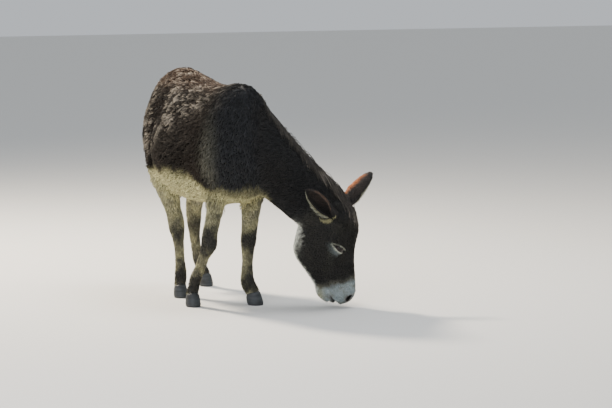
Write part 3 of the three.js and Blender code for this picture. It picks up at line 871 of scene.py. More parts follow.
def lie_of(co, normals, share, pairs):
    """The way the hair lies along the skin, from root to tip."""
    x, y, _ = in_body(co).T
    _, out, left = in_head(co).T
    n = len(co)
    fore = ease(x, 20, 230)
    trunk = np.stack([-0.86 + 0.5 * fore, 0.15 * np.sign(y), -0.5 - 0.45 * fore], 1)
    neck = -0.45 * NECK_LINE - 0.8 * NECK_CREST + np.zeros((n, 3))
    cheek = ease(-out, 30, 120)
    head = HEAD_DOWN * (1 - 0.6 * cheek)[:, None] - AHEAD * (0.85 * cheek)[:, None]
    head = head + HEAD_LEFT * (0.25 * np.sign(left) * (1 - cheek))[:, None]
    legs = np.tile([0.0, 0.0, -1.0], (n, 1))
    tail = np.tile([-0.15, 0.0, -1.0], (n, 1))
    total = trunk * share["trunk"][:, None] + neck * share["neck"][:, None]
    total = total + head * share["head"][:, None] + tail * share["tail"][:, None]
    total = total + legs * (share["legs"] + share["hooves"])[:, None]
    for name in EARS:
        total = total + ear_axes(name)[1] * share[name][:, None]
    total = total - normals * (total * normals).sum(1, keepdims=True)
    total = spread(unit(total), pairs, 6)
    return unit(total - normals * (total * normals).sum(1, keepdims=True))


co = points_of(skin)
normals = normals_of(skin)
lie = lie_of(co, normals, share, pairs)
colour = coat_colour(co, normals, share)
paint = skin.data.color_attributes.new("coat_colour", "FLOAT_COLOR", "POINT")

down, out, left = in_head(co).T
bare = np.zeros(len(co))
for hand in HANDS.values():
    bare = np.maximum(bare, 1 - ease(eye_frame(co, hand)[3], 5.0, 8.0))
    bare = np.maximum(bare, 1 - ease(nostril_frame(co, hand)[2], 1.1, 1.5))
bare = np.maximum(bare, (1 - ease(mouth_gap(down, out), 3, 8)) * ease(down, 410, 430))
bare = np.clip(bare * share["head"] + share["hooves"] * 1.6, 0, 1)
under_hair = colour * (0.7 + 0.3 * bare)[:, None]  # the hair shades the skin between the tufts
paint.data.foreach_set("color", np.hstack([under_hair, np.ones((len(co), 1))]).ravel())
wet = skin.data.attributes.new("bare_skin", "FLOAT", "POINT")
wet.data.foreach_set("value", bare)

# ---- tufts -----------------------------------------------------------------------------
SEED = 41
rng = np.random.default_rng(SEED)
mesh = skin.data
mesh.calc_loop_triangles()
tri = np.empty(len(mesh.loop_triangles) * 3, dtype=np.int64)
mesh.loop_triangles.foreach_get("vertices", tri)
tri = tri.reshape(-1, 3)
corner = co[tri]
tri_area = 0.5 * np.linalg.norm(np.cross(corner[:, 1] - corner[:, 0], corner[:, 2] - corner[:, 0]), axis=1)
PATCH = 0.003  # each tuft's place on the baked map
MAP_EDGE, MAP_SPAN = 0.01, 0.97  # the part of the map that is used


def sow(count, density):
    """Random roots on the skin, as thick as the density given for each point."""
    chance = tri_area * density[tri].mean(1)
    pick = rng.choice(len(tri), count, p=chance / chance.sum())
    a, b = rng.random(count), rng.random(count)
    flip = a + b > 1
    a, b = np.where(flip, 1 - a, a), np.where(flip, 1 - b, b)
    return pick, np.stack([1 - a - b, a, b], 1)


def at_roots(values, roots):
    pick, weights = roots
    shape = (len(pick), 3) + (1,) * (values.ndim - 1)
    return (values[tri[pick]] * weights.reshape(shape)).sum(1)


def unwrap(where, names):
    """A place on an unwrap of the skin: along the part, and round it."""
    x, y, z = in_body(where).T
    down, out, left = in_head(where).T
    if names[0] == "trunk":
        u, v = (x + 880) / 1270, np.arctan2(y, z - 810) / math.tau + 0.5
    elif names[0] == "neck":
        away = (where - on_body(216, 120, 806)) / MM
        aside = np.cross(NECK_LINE, NECK_CREST)
        u = (away @ NECK_LINE + 260) / 760
        v = np.arctan2(away @ aside, away @ NECK_CREST) / math.tau + 0.5
    elif names[0] == "head":
        u, v = (down + 70) / 610, np.arctan2(left, out + 125) / math.tau + 0.5
    elif names[0] in LEGS:
        boxes = {name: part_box(name) for name in LEGS}
        u, v = z / 780, np.zeros(len(z))
        away = np.full(len(z), 1e9)
        for index, name in enumerate(LEGS):
            centre = np.array((boxes[name][0] + boxes[name][1]) / 2)[:2]
            distance = np.linalg.norm(where[:, :2] - centre, axis=1)
            turn = np.arctan2(where[:, 1] - centre[1], where[:, 0] - centre[0]) / math.tau + 0.5
            v = np.where(distance < away, (index + 0.04 + 0.92 * turn) / 4, v)
            away = np.minimum(away, distance)
    elif names[0] in EARS:
        near = [in_ear(where, name) for name in EARS]
        first = np.linalg.norm(where - ear_axes(EARS[0])[0], axis=1)
        second = np.linalg.norm(where - ear_axes(EARS[1])[0], axis=1)
        t, aside, forward = np.where((first < second)[None, :], near[0], near[1])
        turn = np.arctan2(aside, forward) / math.tau + 0.5
        u, v = (t + 0.2) / 1.3, (turn + (first < second)) / 2
    else:
        u, v = (z - 420) / 700, np.arctan2(y + 20, x + 860) / math.tau + 0.5
    return np.stack([MAP_EDGE + MAP_SPAN * np.clip(w, 0, 1) for w in (u, v)], 1)


def strands(name, centres, sides, ups, halves, ridges, colours, places, material):
    """Closed three-sided locks. centres is locks x rings x 3, and the last ring is the tip."""
    count, rings, _ = centres.shape
    body_rings = rings - 1
    left_line = centres[:, :-1] - sides[:, :-1] * halves[:, :-1, None]
    ridge_line = centres[:, :-1] + ups[:, :-1] * ridges[:, :-1, None]
    right_line = centres[:, :-1] + sides[:, :-1] * halves[:, :-1, None]
    ring_points = np.stack([left_line, ridge_line, right_line], 2).reshape(count, body_rings * 3, 3)
    verts = np.concatenate([ring_points, centres[:, -1:, :]], 1)
    per = body_rings * 3 + 1
    faces = [(0, 2, 1)]
    for k in range(body_rings - 1):
        for a, b in ((0, 1), (1, 2), (2, 0)):
            faces.append((3 * k + a, 3 * k + b, 3 * k + 3 + b))
            faces.append((3 * k + a, 3 * k + 3 + b, 3 * k + 3 + a))
    last = 3 * (body_rings - 1)
    for a, b in ((0, 1), (1, 2), (2, 0)):
        faces.append((last + a, last + b, per - 1))
    faces = np.array(faces)
    index = (faces[None, :, :] + (np.arange(count) * per)[:, None, None]).reshape(-1)
    result = bpy.data.meshes.new(name)
    result.vertices.add(count * per)
    result.vertices.foreach_set("co", verts.ravel())
    result.loops.add(len(index))
    result.loops.foreach_set("vertex_index", index.astype(np.int32))
    result.polygons.add(len(index) // 3)
    result.polygons.foreach_set("loop_start", np.arange(0, len(index), 3, dtype=np.int32))
    result.polygons.foreach_set("use_smooth", np.ones(len(index) // 3, dtype=bool))
    ring_colour = np.repeat(colours[:, :-1], 3, axis=1)
    vertex_colour = np.concatenate([ring_colour, colours[:, -1:]], 1)
    alpha = np.ones(vertex_colour.shape[:2] + (1,))
    paint = result.color_attributes.new("coat_colour", "FLOAT_COLOR", "POINT")
    paint.data.foreach_set("color", np.concatenate([vertex_colour, alpha], 2).ravel())
    along = np.append(np.repeat(np.arange(body_rings) / (rings - 1), 3), 1.0) - 0.5
    across = np.append(np.tile([-0.5, 0.0, 0.5], body_rings), 0.0)
    patch = np.stack([along, across], 1)[None] * PATCH + places[:, None, :]
    uv = patch.reshape(-1, 2)[index]
    result.uv_layers.new(name="OFBake")
    result.uv_layers["OFBake"].data.foreach_set("uv", uv.ravel())
    result.update()
    result.validate()
    piece = bpy.data.objects.new(name, result)
    bpy.context.collection.objects.link(piece)
    piece.data.materials.append(material)
    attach(piece, "root")
    return piece


TUFT_RINGS = {  # by the number of rings: share of the length, of the height and of the width
    4: ((0.0, 0.36, 0.72, 1.0), (0.0, 0.70, 0.98, 1.0), (0.8, 1.0, 0.72, 0.0)),
    3: ((0.0, 0.5, 1.0), (0.0, 0.8, 1.0), (0.9, 0.8, 0.0)),
}
ROOT_SHADE = 0.62  # painted shade: the roots are drawn at this brightness, as a share of the hair's
ROOT_SUNK = 1.2  # mm that each root lies under the skin
RIDGE = 0.75  # height of a tuft's ridge, as a share of half its width


def tufts(name, names, roots, size, clump_spacing, material, pull, curl, rings):
    """Grows tufts at the roots. size holds length, width and height in mm for each root."""
    where = at_roots(co, roots)
    up = unit(at_roots(normals, roots))
    way = at_roots(lie, roots)
    way = unit(way - up * (way * up).sum(1, keepdims=True))
    aside = np.cross(way, up)
    base = at_roots(colour, roots)
    woolly = at_roots(woolly_points, roots)
    n = len(where)
    length, width, height = [v * MM for v in size]
    restless = 0.16 + 0.4 * at_roots(forehead, roots) + 0.2 * woolly
    turn = (rng.normal(0, 1, n) * restless)[:, None]
    way = unit(way + aside * turn)
    aside = np.cross(way, up)
    # each tuft leans to the middle of its clump
    spots = rng.choice(n, max(8, n // clump_spacing), replace=False)
    finder = KDTree(len(spots))
    for i, spot in enumerate(spots):
        finder.insert(where[spot], i)
    finder.balance()
    mine = np.array([finder.find(w)[1] for w in where])
    lead = spots[mine]
    clump_length = rng.uniform(0.8, 1.2, len(spots))[mine]
    clump_height = rng.uniform(0.72, 1.12, len(spots))[mine]
    clump_tone = rng.normal(0, 1, len(spots))[mine]
    clump_phase = rng.uniform(0, math.tau, len(spots))[mine]
    length = length * clump_length * rng.uniform(0.7, 1.2, n)
    width = width * rng.uniform(0.7, 1.2, n)
    height = height * clump_height
    tip = where + way * length[:, None] + up * height[:, None]
    target = where[lead] + way[lead] * length[lead][:, None] * 0.95 + up[lead] * height[lead][:, None]
    drift = np.clip(np.linalg.norm(target - tip, axis=1), 1e-6, None)
    limit = np.minimum(1.0, 0.8 * length / drift)
    delta = (target - tip) * (pull * limit)[:, None]
    steps, rise, taper = TUFT_RINGS[rings]
    centres = np.empty((n, rings, 3))
    for k, (t, h) in enumerate(zip(steps, rise)):
        wave = np.sin(clump_phase + t * 4.4) - np.sin(clump_phase)
        centres[:, k] = where + way * (length * t)[:, None] + up * (height * h)[:, None]
        centres[:, k] += delta * t**1.6 + aside * (wave * curl * width)[:, None]
    centres[:, 0] -= up * ROOT_SUNK * MM
    flow = unit(np.gradient(centres, axis=1))
    sides = unit(np.cross(flow, up[:, None, :]))
    ups = np.cross(sides, flow)
    halves = np.stack([width * 0.5 * w for w in taper], 1)
    ridges = halves * RIDGE
    # painted light and shade on the woolly coat: waves of darker and paler locks, about 34 and 15 mm across,
    # for shade between the locks and light on them
    ripple = 0.8 * cloud(where / MM, 34, 43) + 0.8 * cloud(where / MM, 15, 47) - 0.8
    tone = (0.16 + 0.05 * woolly) * clump_tone + 1.3 * woolly * ripple
    tone = np.exp(tone + rng.normal(0, 0.12, n))[:, None]
    # painted shade deep in the coat: the roots are darker than the hair
    root_colour = base * ROOT_SHADE * tone
    mid_colour = base * tone
    # the tips turn pale, partly faded by the sun and partly painted highlight where the light falls and on
    # the waves above
    sunny = 0.08 + at_roots(sunny_points, roots)
    fade_and_highlight = sunny + 2.2 * ripple + 0.26 * clump_tone + rng.normal(0, 0.18, n)
    fade_and_highlight = woolly * np.clip(fade_and_highlight, 0, 1)
    tip_colour = mix(mid_colour, "bleach_and_highlight", fade_and_highlight)
    mid_colour = mix(mid_colour, "bleach_and_highlight", 0.35 * fade_and_highlight)
    # painted shade: the lower rings of longer tufts are darker too
    low_colour = [mid_colour * 0.85] * (rings - 3)
    colours = np.stack([root_colour, *low_colour, mid_colour, tip_colour], 1)
    places = unwrap(where, names)
    return strands(name, centres, sides, ups, halves, ridges, colours, places, material)


def coat_material(name, roughness, sheen, shine):
    """Winter hair: dull and broken, with a faint sheen along the lie; colour from the tufts."""
    material, tree = new_material(name)
    paint = add(tree, "VertexColor", {"layer_name": "coat_colour"})
    place = add(tree, "TexCoord").outputs["Object"]
    grain = add(tree, "TexNoise", {"Scale": 160.0, "Detail": 2.0, "Vector": place})
    tone = add(tree, "MapRange", {"To Min": 0.8, "To Max": 1.22, "Value": grain.outputs["Fac"]})
    values = {"Roughness": roughness, "Specular IOR Level": shine}
    values |= {"Sheen Weight": sheen, "Sheen Roughness": 0.5}
    values["Base Color"] = scaled(tree, paint.outputs["Color"], tone.outputs["Result"])
    finish_material(tree, values)
    return material


woolly_hair = coat_material("woolly_winter_hair", 0.8, 0.01, 0.08)
smooth_hair = coat_material("smooth_short_hair", 0.62, 0.03, 0.22)
long_hair = coat_material("long_mane_hair", 0.5, 0.02, 0.25)

woolly_points = woolly_share(co)
x, y, z = in_body(co).T
sunny_points = 0.30 * hump(x, -210, 190) * hump(z, 925, 110)  # painted sunlight: the tips are paler where the light falls, on the upper barrel and on the rear edge of the haunch
sunny_points = sunny_points + 0.55 * hump(x, -585, 45) * hump(z, 800, 110)
sunny_points = sunny_points - 0.45 * ease(z, 1040, 1120)  # the line of the back stays dark
down, out, left = in_head(co).T
haired = 1 - bare
near_eye = np.ones(len(co))
for hand in HANDS.values():
    near_eye = np.maximum(near_eye, 3.0 - 2.0 * ease(eye_frame(co, hand)[3], 14, 34))
density = {
    "trunk": share["trunk"] * haired * (1 + 0.4 * ease(x, -20, 120)),
    "neck": share["neck"] * haired,
    "head": share["head"] * haired * (1 + 0.6 * ease(down, 380, 430)) * near_eye,
    "legs": share["legs"] * haired,
    "ears": share["ears"] * haired,
    "tail": share["tail"] * ease(z, 560, 640),
}
shoulder = ease(x, 90, 240)
belly = ease(-z, -600, -540)
forehead = ease(out, -75, -25) * ease(down, 10, 50) * (1 - ease(down, 130, 250)) * share["head"]
hollow = hollow_share(co)
by_eye = np.ones(len(co))
for hand in HANDS.values():
    by_eye = np.minimum(by_eye, 0.5 + 0.5 * ease(eye_frame(co, hand)[3], 14, 34))
sizes = {
    "trunk": (
        36 - 7 * shoulder + 10 * belly - 10 * hollow,
        4.9 - 1.0 * shoulder - 0.8 * hollow,
        13.5 - 5.0 * shoulder + 3 * belly - 6 * hollow,
    ),
    "neck": (27 + 0 * x, 3.2 + 0 * x, 7.5 + 0 * x),
    "head": (
        (14.5 - 8.0 * ease(down, 375, 430) + 10 * ease(-down, -80, 10) + 12 * forehead) * by_eye,
        (3.0 - 1.1 * ease(down, 375, 430) + 1.2 * forehead) * by_eye,
        (3.8 - 2.4 * ease(down, 385, 440) + 2 * ease(-down, -70, 10) + 9.0 * forehead) * by_eye,
    ),
    "legs": (
        15 + 12 * ease(z, 380, 600) + 7 * hump(z, 100, 22),
        3.2 + 1.2 * ease(z, 380, 600),
        3.2 + 4.0 * ease(z, 330, 600) + 1.5 * hump(z, 100, 22),
    ),
    "ears": (10 + 0 * x, 2.2 + 0 * x, 1.6 + 0 * x),
    "tail": (34 + 0 * x, 4.5 + 0 * x, 8 + 0 * x),
}
TRUNK_PIECES = ("coat_rump", "coat_loin", "coat_barrel", "coat_shoulder")
COAT = (  # part, nodes, pieces, tufts, tufts to a clump, rings, pull of the clump, curl, hair
    ("trunk", ["trunk"], TRUNK_PIECES, 41500, 4, 4, 0.7, 0.6, woolly_hair),
    ("neck", ["neck"], ("coat_neck",), 11500, 5, 4, 0.4, 0.15, smooth_hair),
    ("head", ["head"], ("coat_head_upper", "coat_head_lower"), 23000, 4, 3, 0.4, 0.15, smooth_hair),
    ("legs", LEGS, ("coat_forelegs", "coat_hindlegs"), 23000, 4, 3, 0.4, 0.15, smooth_hair),
    ("ears", EARS, ("coat_ears",), 5000, 3, 3, 0.3, 0.15, smooth_hair),
    ("tail", ["tail"], ("coat_dock",), 1500, 4, 4, 0.3, 0.15, woolly_hair),
)
for key, names, pieces, count, clump, rings, pull, curl, hair in COAT:
    roots = sow(count, density[key])
    spot = at_roots(co, roots)
    order_by = {"trunk": in_body(spot)[:, 0], "head": in_head(spot)[:, 0], "legs": -in_body(spot)[:, 0]}
    order = np.argsort(order_by.get(key, spot[:, 2]))
    for name, chosen in zip(pieces, np.array_split(order, len(pieces))):
        mine = (roots[0][chosen], roots[1][chosen])
        size = [at_roots(np.asarray(v, dtype=float), mine) for v in sizes[key]]
        tufts(name, names, mine, size, clump, hair, pull, curl, rings)

# ---- mane, forelock, tail and the other long hair ----------------------------------------
skin_tree = BVHTree.FromPolygons([Vector(p) for p in co], [tuple(p.vertices) for p in skin.data.polygons])


def settle(point, height):
    """The point at the given height over the skin, and the skin's normal there."""
    spot, normal, _, _ = skin_tree.find_nearest(Vector(point))
    return np.array(spot) + np.array(normal) * height, np.array(normal)


def comb(roots, ways, lengths, heights, droop, steps=6):
    """Paths that leave each root along its way and then lie at a height over the skin."""
    paths = np.empty((len(roots), steps, 3))
    ups = np.empty((len(roots), steps, 3))
    for i, (root, way, length, height) in enumerate(zip(roots, ways, lengths, heights)):
        point, normal = settle(root, -1.5 * MM)
        stride = length / (steps - 1)
        for k in range(steps):
            paths[i, k] = point
            ups[i, k] = normal
            way = unit(way + droop[i] / (steps - 1))
            rise = height * min(1.0, 0.55 + 0.45 * (k + 1) / 2)
            aim = point + way * stride
            rested, normal = settle(aim, rise)
            drop = min(1.0, 0.35 + 0.25 * k)
            above = (aim - rested) @ normal
            point = rested if above < 0 else aim + (rested - aim) * drop
            way = unit(point - paths[i, k])
    return paths, ups


LOCK_TAPERS = {6: (0.7, 1.0, 1.0, 0.85, 0.55, 0.0), 4: (0.8, 1.0, 0.6, 0.0)}  # by rings


def long_locks(name, names, paths, ups, width, root_colour, tip_colour):
    """Turns paths into locks; width in mm for each."""
    rings = paths.shape[1]
    flow = unit(np.gradient(paths, axis=1))
    sides = unit(np.cross(flow, ups))
    turned = np.cross(sides, flow)
    halves = 0.5 * width[:, None] * MM * np.array(LOCK_TAPERS[rings])[None, :]
    share = np.linspace(0, 1, rings)[None, :, None] ** 1.3
    colours = root_colour[:, None, :] + (tip_colour - root_colour)[:, None, :] * share
    # painted shade at the roots of the locks
    colours[:, 0] *= 0.7
    places = unwrap(paths[:, 0], names)
    return strands(name, paths, sides, turned, halves, halves * 0.7, colours, places, long_hair)


def bent(roots, ways, lengths, bend, upper):
    """Free paths of four points that bend towards their tips, with their upper sides."""
    t = np.linspace(0, 1, 4)
    paths = roots[:, None, :] + ways[:, None, :] * (lengths[:, None] * t)[:, :, None]
    paths = paths + bend * (lengths[:, None] * t**2)[:, :, None]
    return paths, np.repeat(np.broadcast_to(upper, roots.shape)[:, None, :], 4, axis=1)


NECK_BONES = (  # the middle line of the neck, in mm
    (112, 32, 868),
    (216, 120, 806),
    (256, 206, 716),
    (284, 292, 617),
    (312, 358, 543),
    (330, 405, 478),
    (340, 432, 440),
)


def crest_point(t):
    """The top of the neck at a share of its length, with the way along it and its upper side."""
    bones = np.array([on_body(*row) for row in NECK_BONES])
    last = len(bones) - 1
    place = t * last

    def along(where):
        return np.array([np.interp(where, range(len(bones)), bones[:, k]) for k in range(3)])

    spot = along(place)
    step, back = along(min(place + 0.5, last)), along(max(place - 0.5, 0))
    line = unit(step - back)
    upper = unit(UP - line * (UP @ line))
    hit = skin_tree.ray_cast(Vector(spot + upper * 0.45), Vector(-upper))[0]
    return np.array(hit), line, upper


def tinted(count, first, second, share, spread_of):
    """Colours between two of the palette, with some difference from lock to lock."""
    tone = np.exp(rng.normal(0, spread_of, count))[:, None]
    return mix(first, second, share) * tone


MANE_LOCKS = 1900
t = rng.random(MANE_LOCKS) ** 0.9
roots, ways, droop = (np.empty((MANE_LOCKS, 3)) for _ in range(3))
for i in range(MANE_LOCKS):
    spot, line, upper = crest_point(t[i])
    near_side = unit(np.cross(line, upper))
    near_side = near_side if near_side @ HEAD_LEFT < 0 else -near_side
    side_way = rng.normal(6 + 10 * ease(t[i : i + 1], 0.45, 0.8)[0], 13)
    roots[i] = spot + near_side * side_way * MM
    way = line * rng.uniform(0.7, 1.0) + near_side * rng.uniform(0.15, 0.6)
    ways[i] = unit(way + upper * rng.uniform(0.1, 0.5))
    droop[i] = near_side * rng.uniform(0.1, 0.75) + line * 0.5 - UP * 0.15
lengths = (50 + 85 * ease(t, 0.0, 0.45)) * rng.uniform(0.7, 1.15, MANE_LOCKS) * MM
heights = (2 + 9 * rng.random(MANE_LOCKS) + 9 * (rng.random(MANE_LOCKS) > 0.94)) * MM
paths, ups = comb(roots, ways, lengths, heights, droop)
# the pale tips of the streaks are partly faded and partly a painted sheen; the russet at their roots is the
# hair's own colour
streak = ease(cloud(roots / MM, 14, 23), 0.5, 0.8) * rng.random(MANE_LOCKS) * ease(t, 0.15, 0.35)
root_colour = tinted(MANE_LOCKS, "mane", "russet", 0.25 * streak, 0.18)
tip_colour = tinted(MANE_LOCKS, "mane", "bleach_and_highlight", 0.1 + 0.45 * streak, 0.18)
width = rng.uniform(3.0, 6.0, MANE_LOCKS)
long_locks("mane", ["neck"], paths, ups, width, root_colour, tip_colour)

FORELOCK = 340  # locks
away = [rng.uniform(-30, 34, FORELOCK), rng.uniform(0, 30, FORELOCK), rng.normal(0, 20, FORELOCK)]
roots = POLL + np.stack(away, 1) @ HEAD_AXES * MM
ways = HEAD_DOWN * 1.0 + AHEAD * rng.uniform(0.0, 0.5, FORELOCK)[:, None]
ways = unit(ways - HEAD_LEFT * rng.normal(0.18, 0.42, FORELOCK)[:, None])
droop = HEAD_DOWN * 0.6 - AHEAD * 0.2 + HEAD_LEFT * rng.normal(0, 0.2, FORELOCK)[:, None]
lengths = (26 + 96 * rng.random(FORELOCK) ** 2.2) * MM
heights = (1.5 + 11 * rng.random(FORELOCK) ** 1.5) * MM
paths, ups = comb(roots, ways, lengths, heights, droop)
# russet streaks of the hair's own colour, with pale tips partly faded and partly painted highlight
streak = ease(cloud(roots / MM, 10, 29), 0.5, 0.8)
root_colour = tinted(FORELOCK, "mane", "russet", 0.5 * streak, 0.2)
tip_colour = tinted(FORELOCK, "mane", "bleach_and_highlight", 0.1 + 0.4 * streak, 0.2)
width = rng.uniform(2.4, 5.0, FORELOCK)
long_locks("forelock", ["head"], paths, ups, width, root_colour, tip_colour)

# shorter locks that break the line of the forehead
BROW_LOCKS = 420
low_down = 30 + 165 * rng.random(BROW_LOCKS) ** 0.9
spots = np.stack([low_down, np.full(BROW_LOCKS, 40.0), rng.normal(0, 26, BROW_LOCKS)], 1)
roots = POLL + spots @ HEAD_AXES * MM
ways = HEAD_DOWN * 0.8 + AHEAD * rng.uniform(0.3, 0.9, BROW_LOCKS)[:, None]
ways = unit(ways + rng.normal(0, 0.2, (BROW_LOCKS, 3)))
lengths = rng.uniform(14, 32, BROW_LOCKS) * (1 - 0.4 * ease(low_down, 120, 190)) * MM
heights = rng.uniform(2, 11, BROW_LOCKS) * MM
paths, ups = comb(roots, ways, lengths, heights, np.tile(HEAD_DOWN * 0.7, (BROW_LOCKS, 1)), 4)
# the tips are a little pale, partly faded and partly painted highlight
root_colour = tinted(BROW_LOCKS, "mane", "russet", 0.3 * rng.random(BROW_LOCKS), 0.2)
tip_colour = tinted(BROW_LOCKS, "face", "bleach_and_highlight", 0.15 * rng.random(BROW_LOCKS), 0.2)
width = rng.uniform(2.4, 4.6, BROW_LOCKS)
long_locks("brow_locks", ["head"], paths, ups, width, root_colour, tip_colour)

# the switch of the tail, in long locks from half way down
TAIL_LOCKS = 900
LOWEST = 462  # mm over the ground where the longest hairs of the tail end
roots = at_roots(co, sow(TAIL_LOCKS, share["tail"] * ease(-z, -860, -760)))
lengths = rng.uniform(110, 190, TAIL_LOCKS)
lengths = np.minimum(lengths, np.maximum(in_body(roots)[:, 2] - LOWEST, 25)) * MM
sway = [rng.normal(0, 0.1, TAIL_LOCKS), rng.normal(0, 0.1, TAIL_LOCKS)]
ways = unit(np.stack([*sway, -np.ones(TAIL_LOCKS)], 1))
heights = rng.uniform(2, 13, TAIL_LOCKS) * MM
paths, ups = comb(roots, ways, lengths, heights, np.tile([0.0, 0.0, -1.2], (TAIL_LOCKS, 1)))
streak = ease(cloud(roots / MM, 12, 31), 0.45, 0.8)
root_colour = tinted(TAIL_LOCKS, "mane", "russet", 0.3 * streak, 0.2)
tip_colour = tinted(TAIL_LOCKS, "mane", "bleach_and_highlight", 0.35 * streak, 0.2)
width = rng.uniform(3.0, 6.5, TAIL_LOCKS)
long_locks("tail_switch", ["tail"], paths, ups, width, root_colour, tip_colour)

# fringes along the ears' edges
EAR_FRINGES = (  # ear, edge, from, to, hairs, length, way out of the rim, colour, tip
    ("ear_right", "lower", 0.08, 0.97, 560, 23, 0.8, "cream", "ring"),
    ("ear_right", "upper", 0.25, 0.98, 300, 8, 0.3, "ear_rim", "ear_rim"),
    ("ear_left", "upper", 0.22, 0.90, 340, 10, 0.4, "ear_rim", "ear_rim"),
    ("ear_left", "lower", 0.15, 0.96, 420, 13, 0.55, "cream", "ring"),
)
for ear, side, start, end, count, long, turn_out, first, second in EAR_FRINGES:
    t = rng.uniform(start, end, count)
    edge = EAR_UPPER[ear] * (1 if side == "upper" else -1) * rng.uniform(0.86, 1.0, count)
    root, line, opening, across = ear_axes(ear)
    spots = ear_rim(ear, t, edge, 1.0)
    roots = np.array([settle(p, -1.0 * MM)[0] for p in spots])
    ways = line * 0.8 + across * (np.sign(edge) * turn_out)[:, None]
    ways = ways + opening * rng.uniform(0.0, 0.5, count)[:, None]
    ways = unit(ways + rng.normal(0, 0.24, (count, 3)))
    lengths = long * (1.25 - 0.95 * ease(t, 0.25, 0.85)) * rng.uniform(0.4, 1.15, count) * MM
    paths, ups = bent(roots, ways, lengths, line * 0.22, opening)
    root_colour = tinted(count, first, "ear_back", 0.3 + 0.5 * rng.random(count), 0.15)
    tip_colour = tinted(count, second, "ear_back", rng.random(count) ** 2, 0.1)
    width = rng.uniform(1.2, 2.4, count)
    name = "fringe_%s_%s" % (ear.split("_")[1], side)
    long_locks(name, [ear], paths, ups, width, root_colour, tip_colour)

# pale tufts below the root of the right ear, and their fellows on the left
BASE_TUFTS = 170
for name, hand in HANDS.items():
    about = np.clip(rng.normal(0, 1, (BASE_TUFTS, 2)), -2, 2)
    pick_out = -96 + 21 * about[:, 0]
    pick_down = 62 - 3.5 * about[:, 0] - 5 * about[:, 0] ** 2 + 4 * about[:, 1]
    inward = -HEAD_LEFT * hand
    spots = [on_head(d, o, hand * 200) for d, o in zip(pick_down, pick_out)]
    roots = np.array([skin_tree.ray_cast(Vector(spot), Vector(inward))[0] for spot in spots])
    ways = unit(HEAD_DOWN * 0.8 - AHEAD * 0.3 + HEAD_LEFT * hand * 0.3 + rng.normal(0, 0.3, (BASE_TUFTS, 3)))
    lengths = rng.uniform(9, 24, BASE_TUFTS) * MM
    heights = rng.uniform(1.5, 6, BASE_TUFTS) * MM
    paths, ups = comb(roots, ways, lengths, heights, np.tile(HEAD_DOWN * 0.4, (BASE_TUFTS, 1)), 4)
    root_colour = tinted(BASE_TUFTS, "cream", "ear_back", 0.3 + 0.5 * rng.random(BASE_TUFTS), 0.15)
    tip_colour = tinted(BASE_TUFTS, "cream", "ear_back", 0.4 * rng.random(BASE_TUFTS), 0.12)
    width = rng.uniform(1.6, 3.0, BASE_TUFTS)
    piece = "ear_base_tufts_" + name
    long_locks(piece, ["head"], paths, ups, width, root_colour, tip_colour)

# eyelashes and whiskers
LASHES = 26
WHISKERS = 46
for name, hand in HANDS.items():
    outward, front, upper = eye_axes(hand)
    centre = EYE_AT[hand]
    along = np.linspace(-0.72, 0.9, LASHES) * EYE_HALF
    top = LID_LEVEL + LID_TOP * np.sqrt(1 - (along / EYE_HALF) ** 2) + 1.2
    way = np.outer(along + EYE_AHEAD, front) + np.outer(top, upper)
    bulge = np.sqrt(np.clip((EYE_RADIUS + LID_THICK) ** 2 - along**2 - top**2, 1, None))
    roots = centre + (way + np.outer(bulge, outward)) * MM
    ways = unit(outward * 0.85 - upper * 0.35 + front * 0.25 + rng.normal(0, 0.1, (LASHES, 3)))
    lengths = rng.uniform(11, 17, LASHES) * MM
    paths, ups = bent(roots, ways, lengths, upper * 0.35, upper)
    dark = tinted(LASHES, "bare", "bare", np.zeros(LASHES), 0.1)
    width = np.full(LASHES, 1.1)
    long_locks("lashes_" + name, ["head"], paths, ups, width, dark, dark)

    placed = []
    for _ in range(WHISKERS):
        spot = on_head(rng.uniform(462, 512), rng.uniform(-150, -20), hand * rng.uniform(20, 60))
        placed.append(settle(spot, -1.0 * MM))
    roots, normal = (np.array(column) for column in zip(*placed))
    ways = unit(normal * 0.8 + HEAD_DOWN * 0.35 + rng.normal(0, 0.2, (WHISKERS, 3)))
    lengths = rng.uniform(10, 24, WHISKERS) * MM
    paths, ups = bent(roots, ways, lengths, HEAD_DOWN * 0.25, np.cross(ways, HEAD_LEFT))
    pale = tinted(WHISKERS, "grey", "bare", rng.random(WHISKERS), 0.1)
    width = np.full(WHISKERS, 0.7)
    long_locks("whiskers_" + name, ["head"], paths, ups, width, pale, pale)

# ---- the skin's material -----------------------------------------------------------------
hide, tree = new_material("hide_with_short_underfur")
paint = add(tree, "VertexColor", {"layer_name": "coat_colour"})
skin_bare = add(tree, "Attribute", {"attribute_name": "bare_skin"}).outputs["Fac"]
place = add(tree, "TexCoord").outputs["Object"]
# underfur about 1.5 mm thick, drawn in streaks 4 mm apart; pores and wrinkles on bare skin 1 mm apart
streaks = add(tree, "TexNoise", {"Scale": 240.0, "Detail": 3.0, "Vector": place}).outputs["Fac"]
pores = add(tree, "TexVoronoi", {"Scale": 900.0, "Vector": place}).outputs["Distance"]
relief = add(tree, "Mix", {"data_type": "FLOAT", 0: skin_bare, 2: streaks, 3: pores})
bump = add(tree, "Bump", {"Strength": 0.5, "Distance": 0.0015, "Height": relief.outputs[0]})
tone = add(tree, "MapRange", {"To Min": 0.7, "To Max": 1.2, "Value": streaks})
gloss = add(tree, "MapRange", {"To Min": 0.85, "To Max": 0.42, "Value": skin_bare})
values = {"Roughness": gloss.outputs["Result"], "Normal": bump.outputs["Normal"]}
values["Base Color"] = scaled(tree, paint.outputs["Color"], tone.outputs["Result"])
finish_material(tree, values)
skin.data.materials.clear()
skin.data.materials.append(hide)

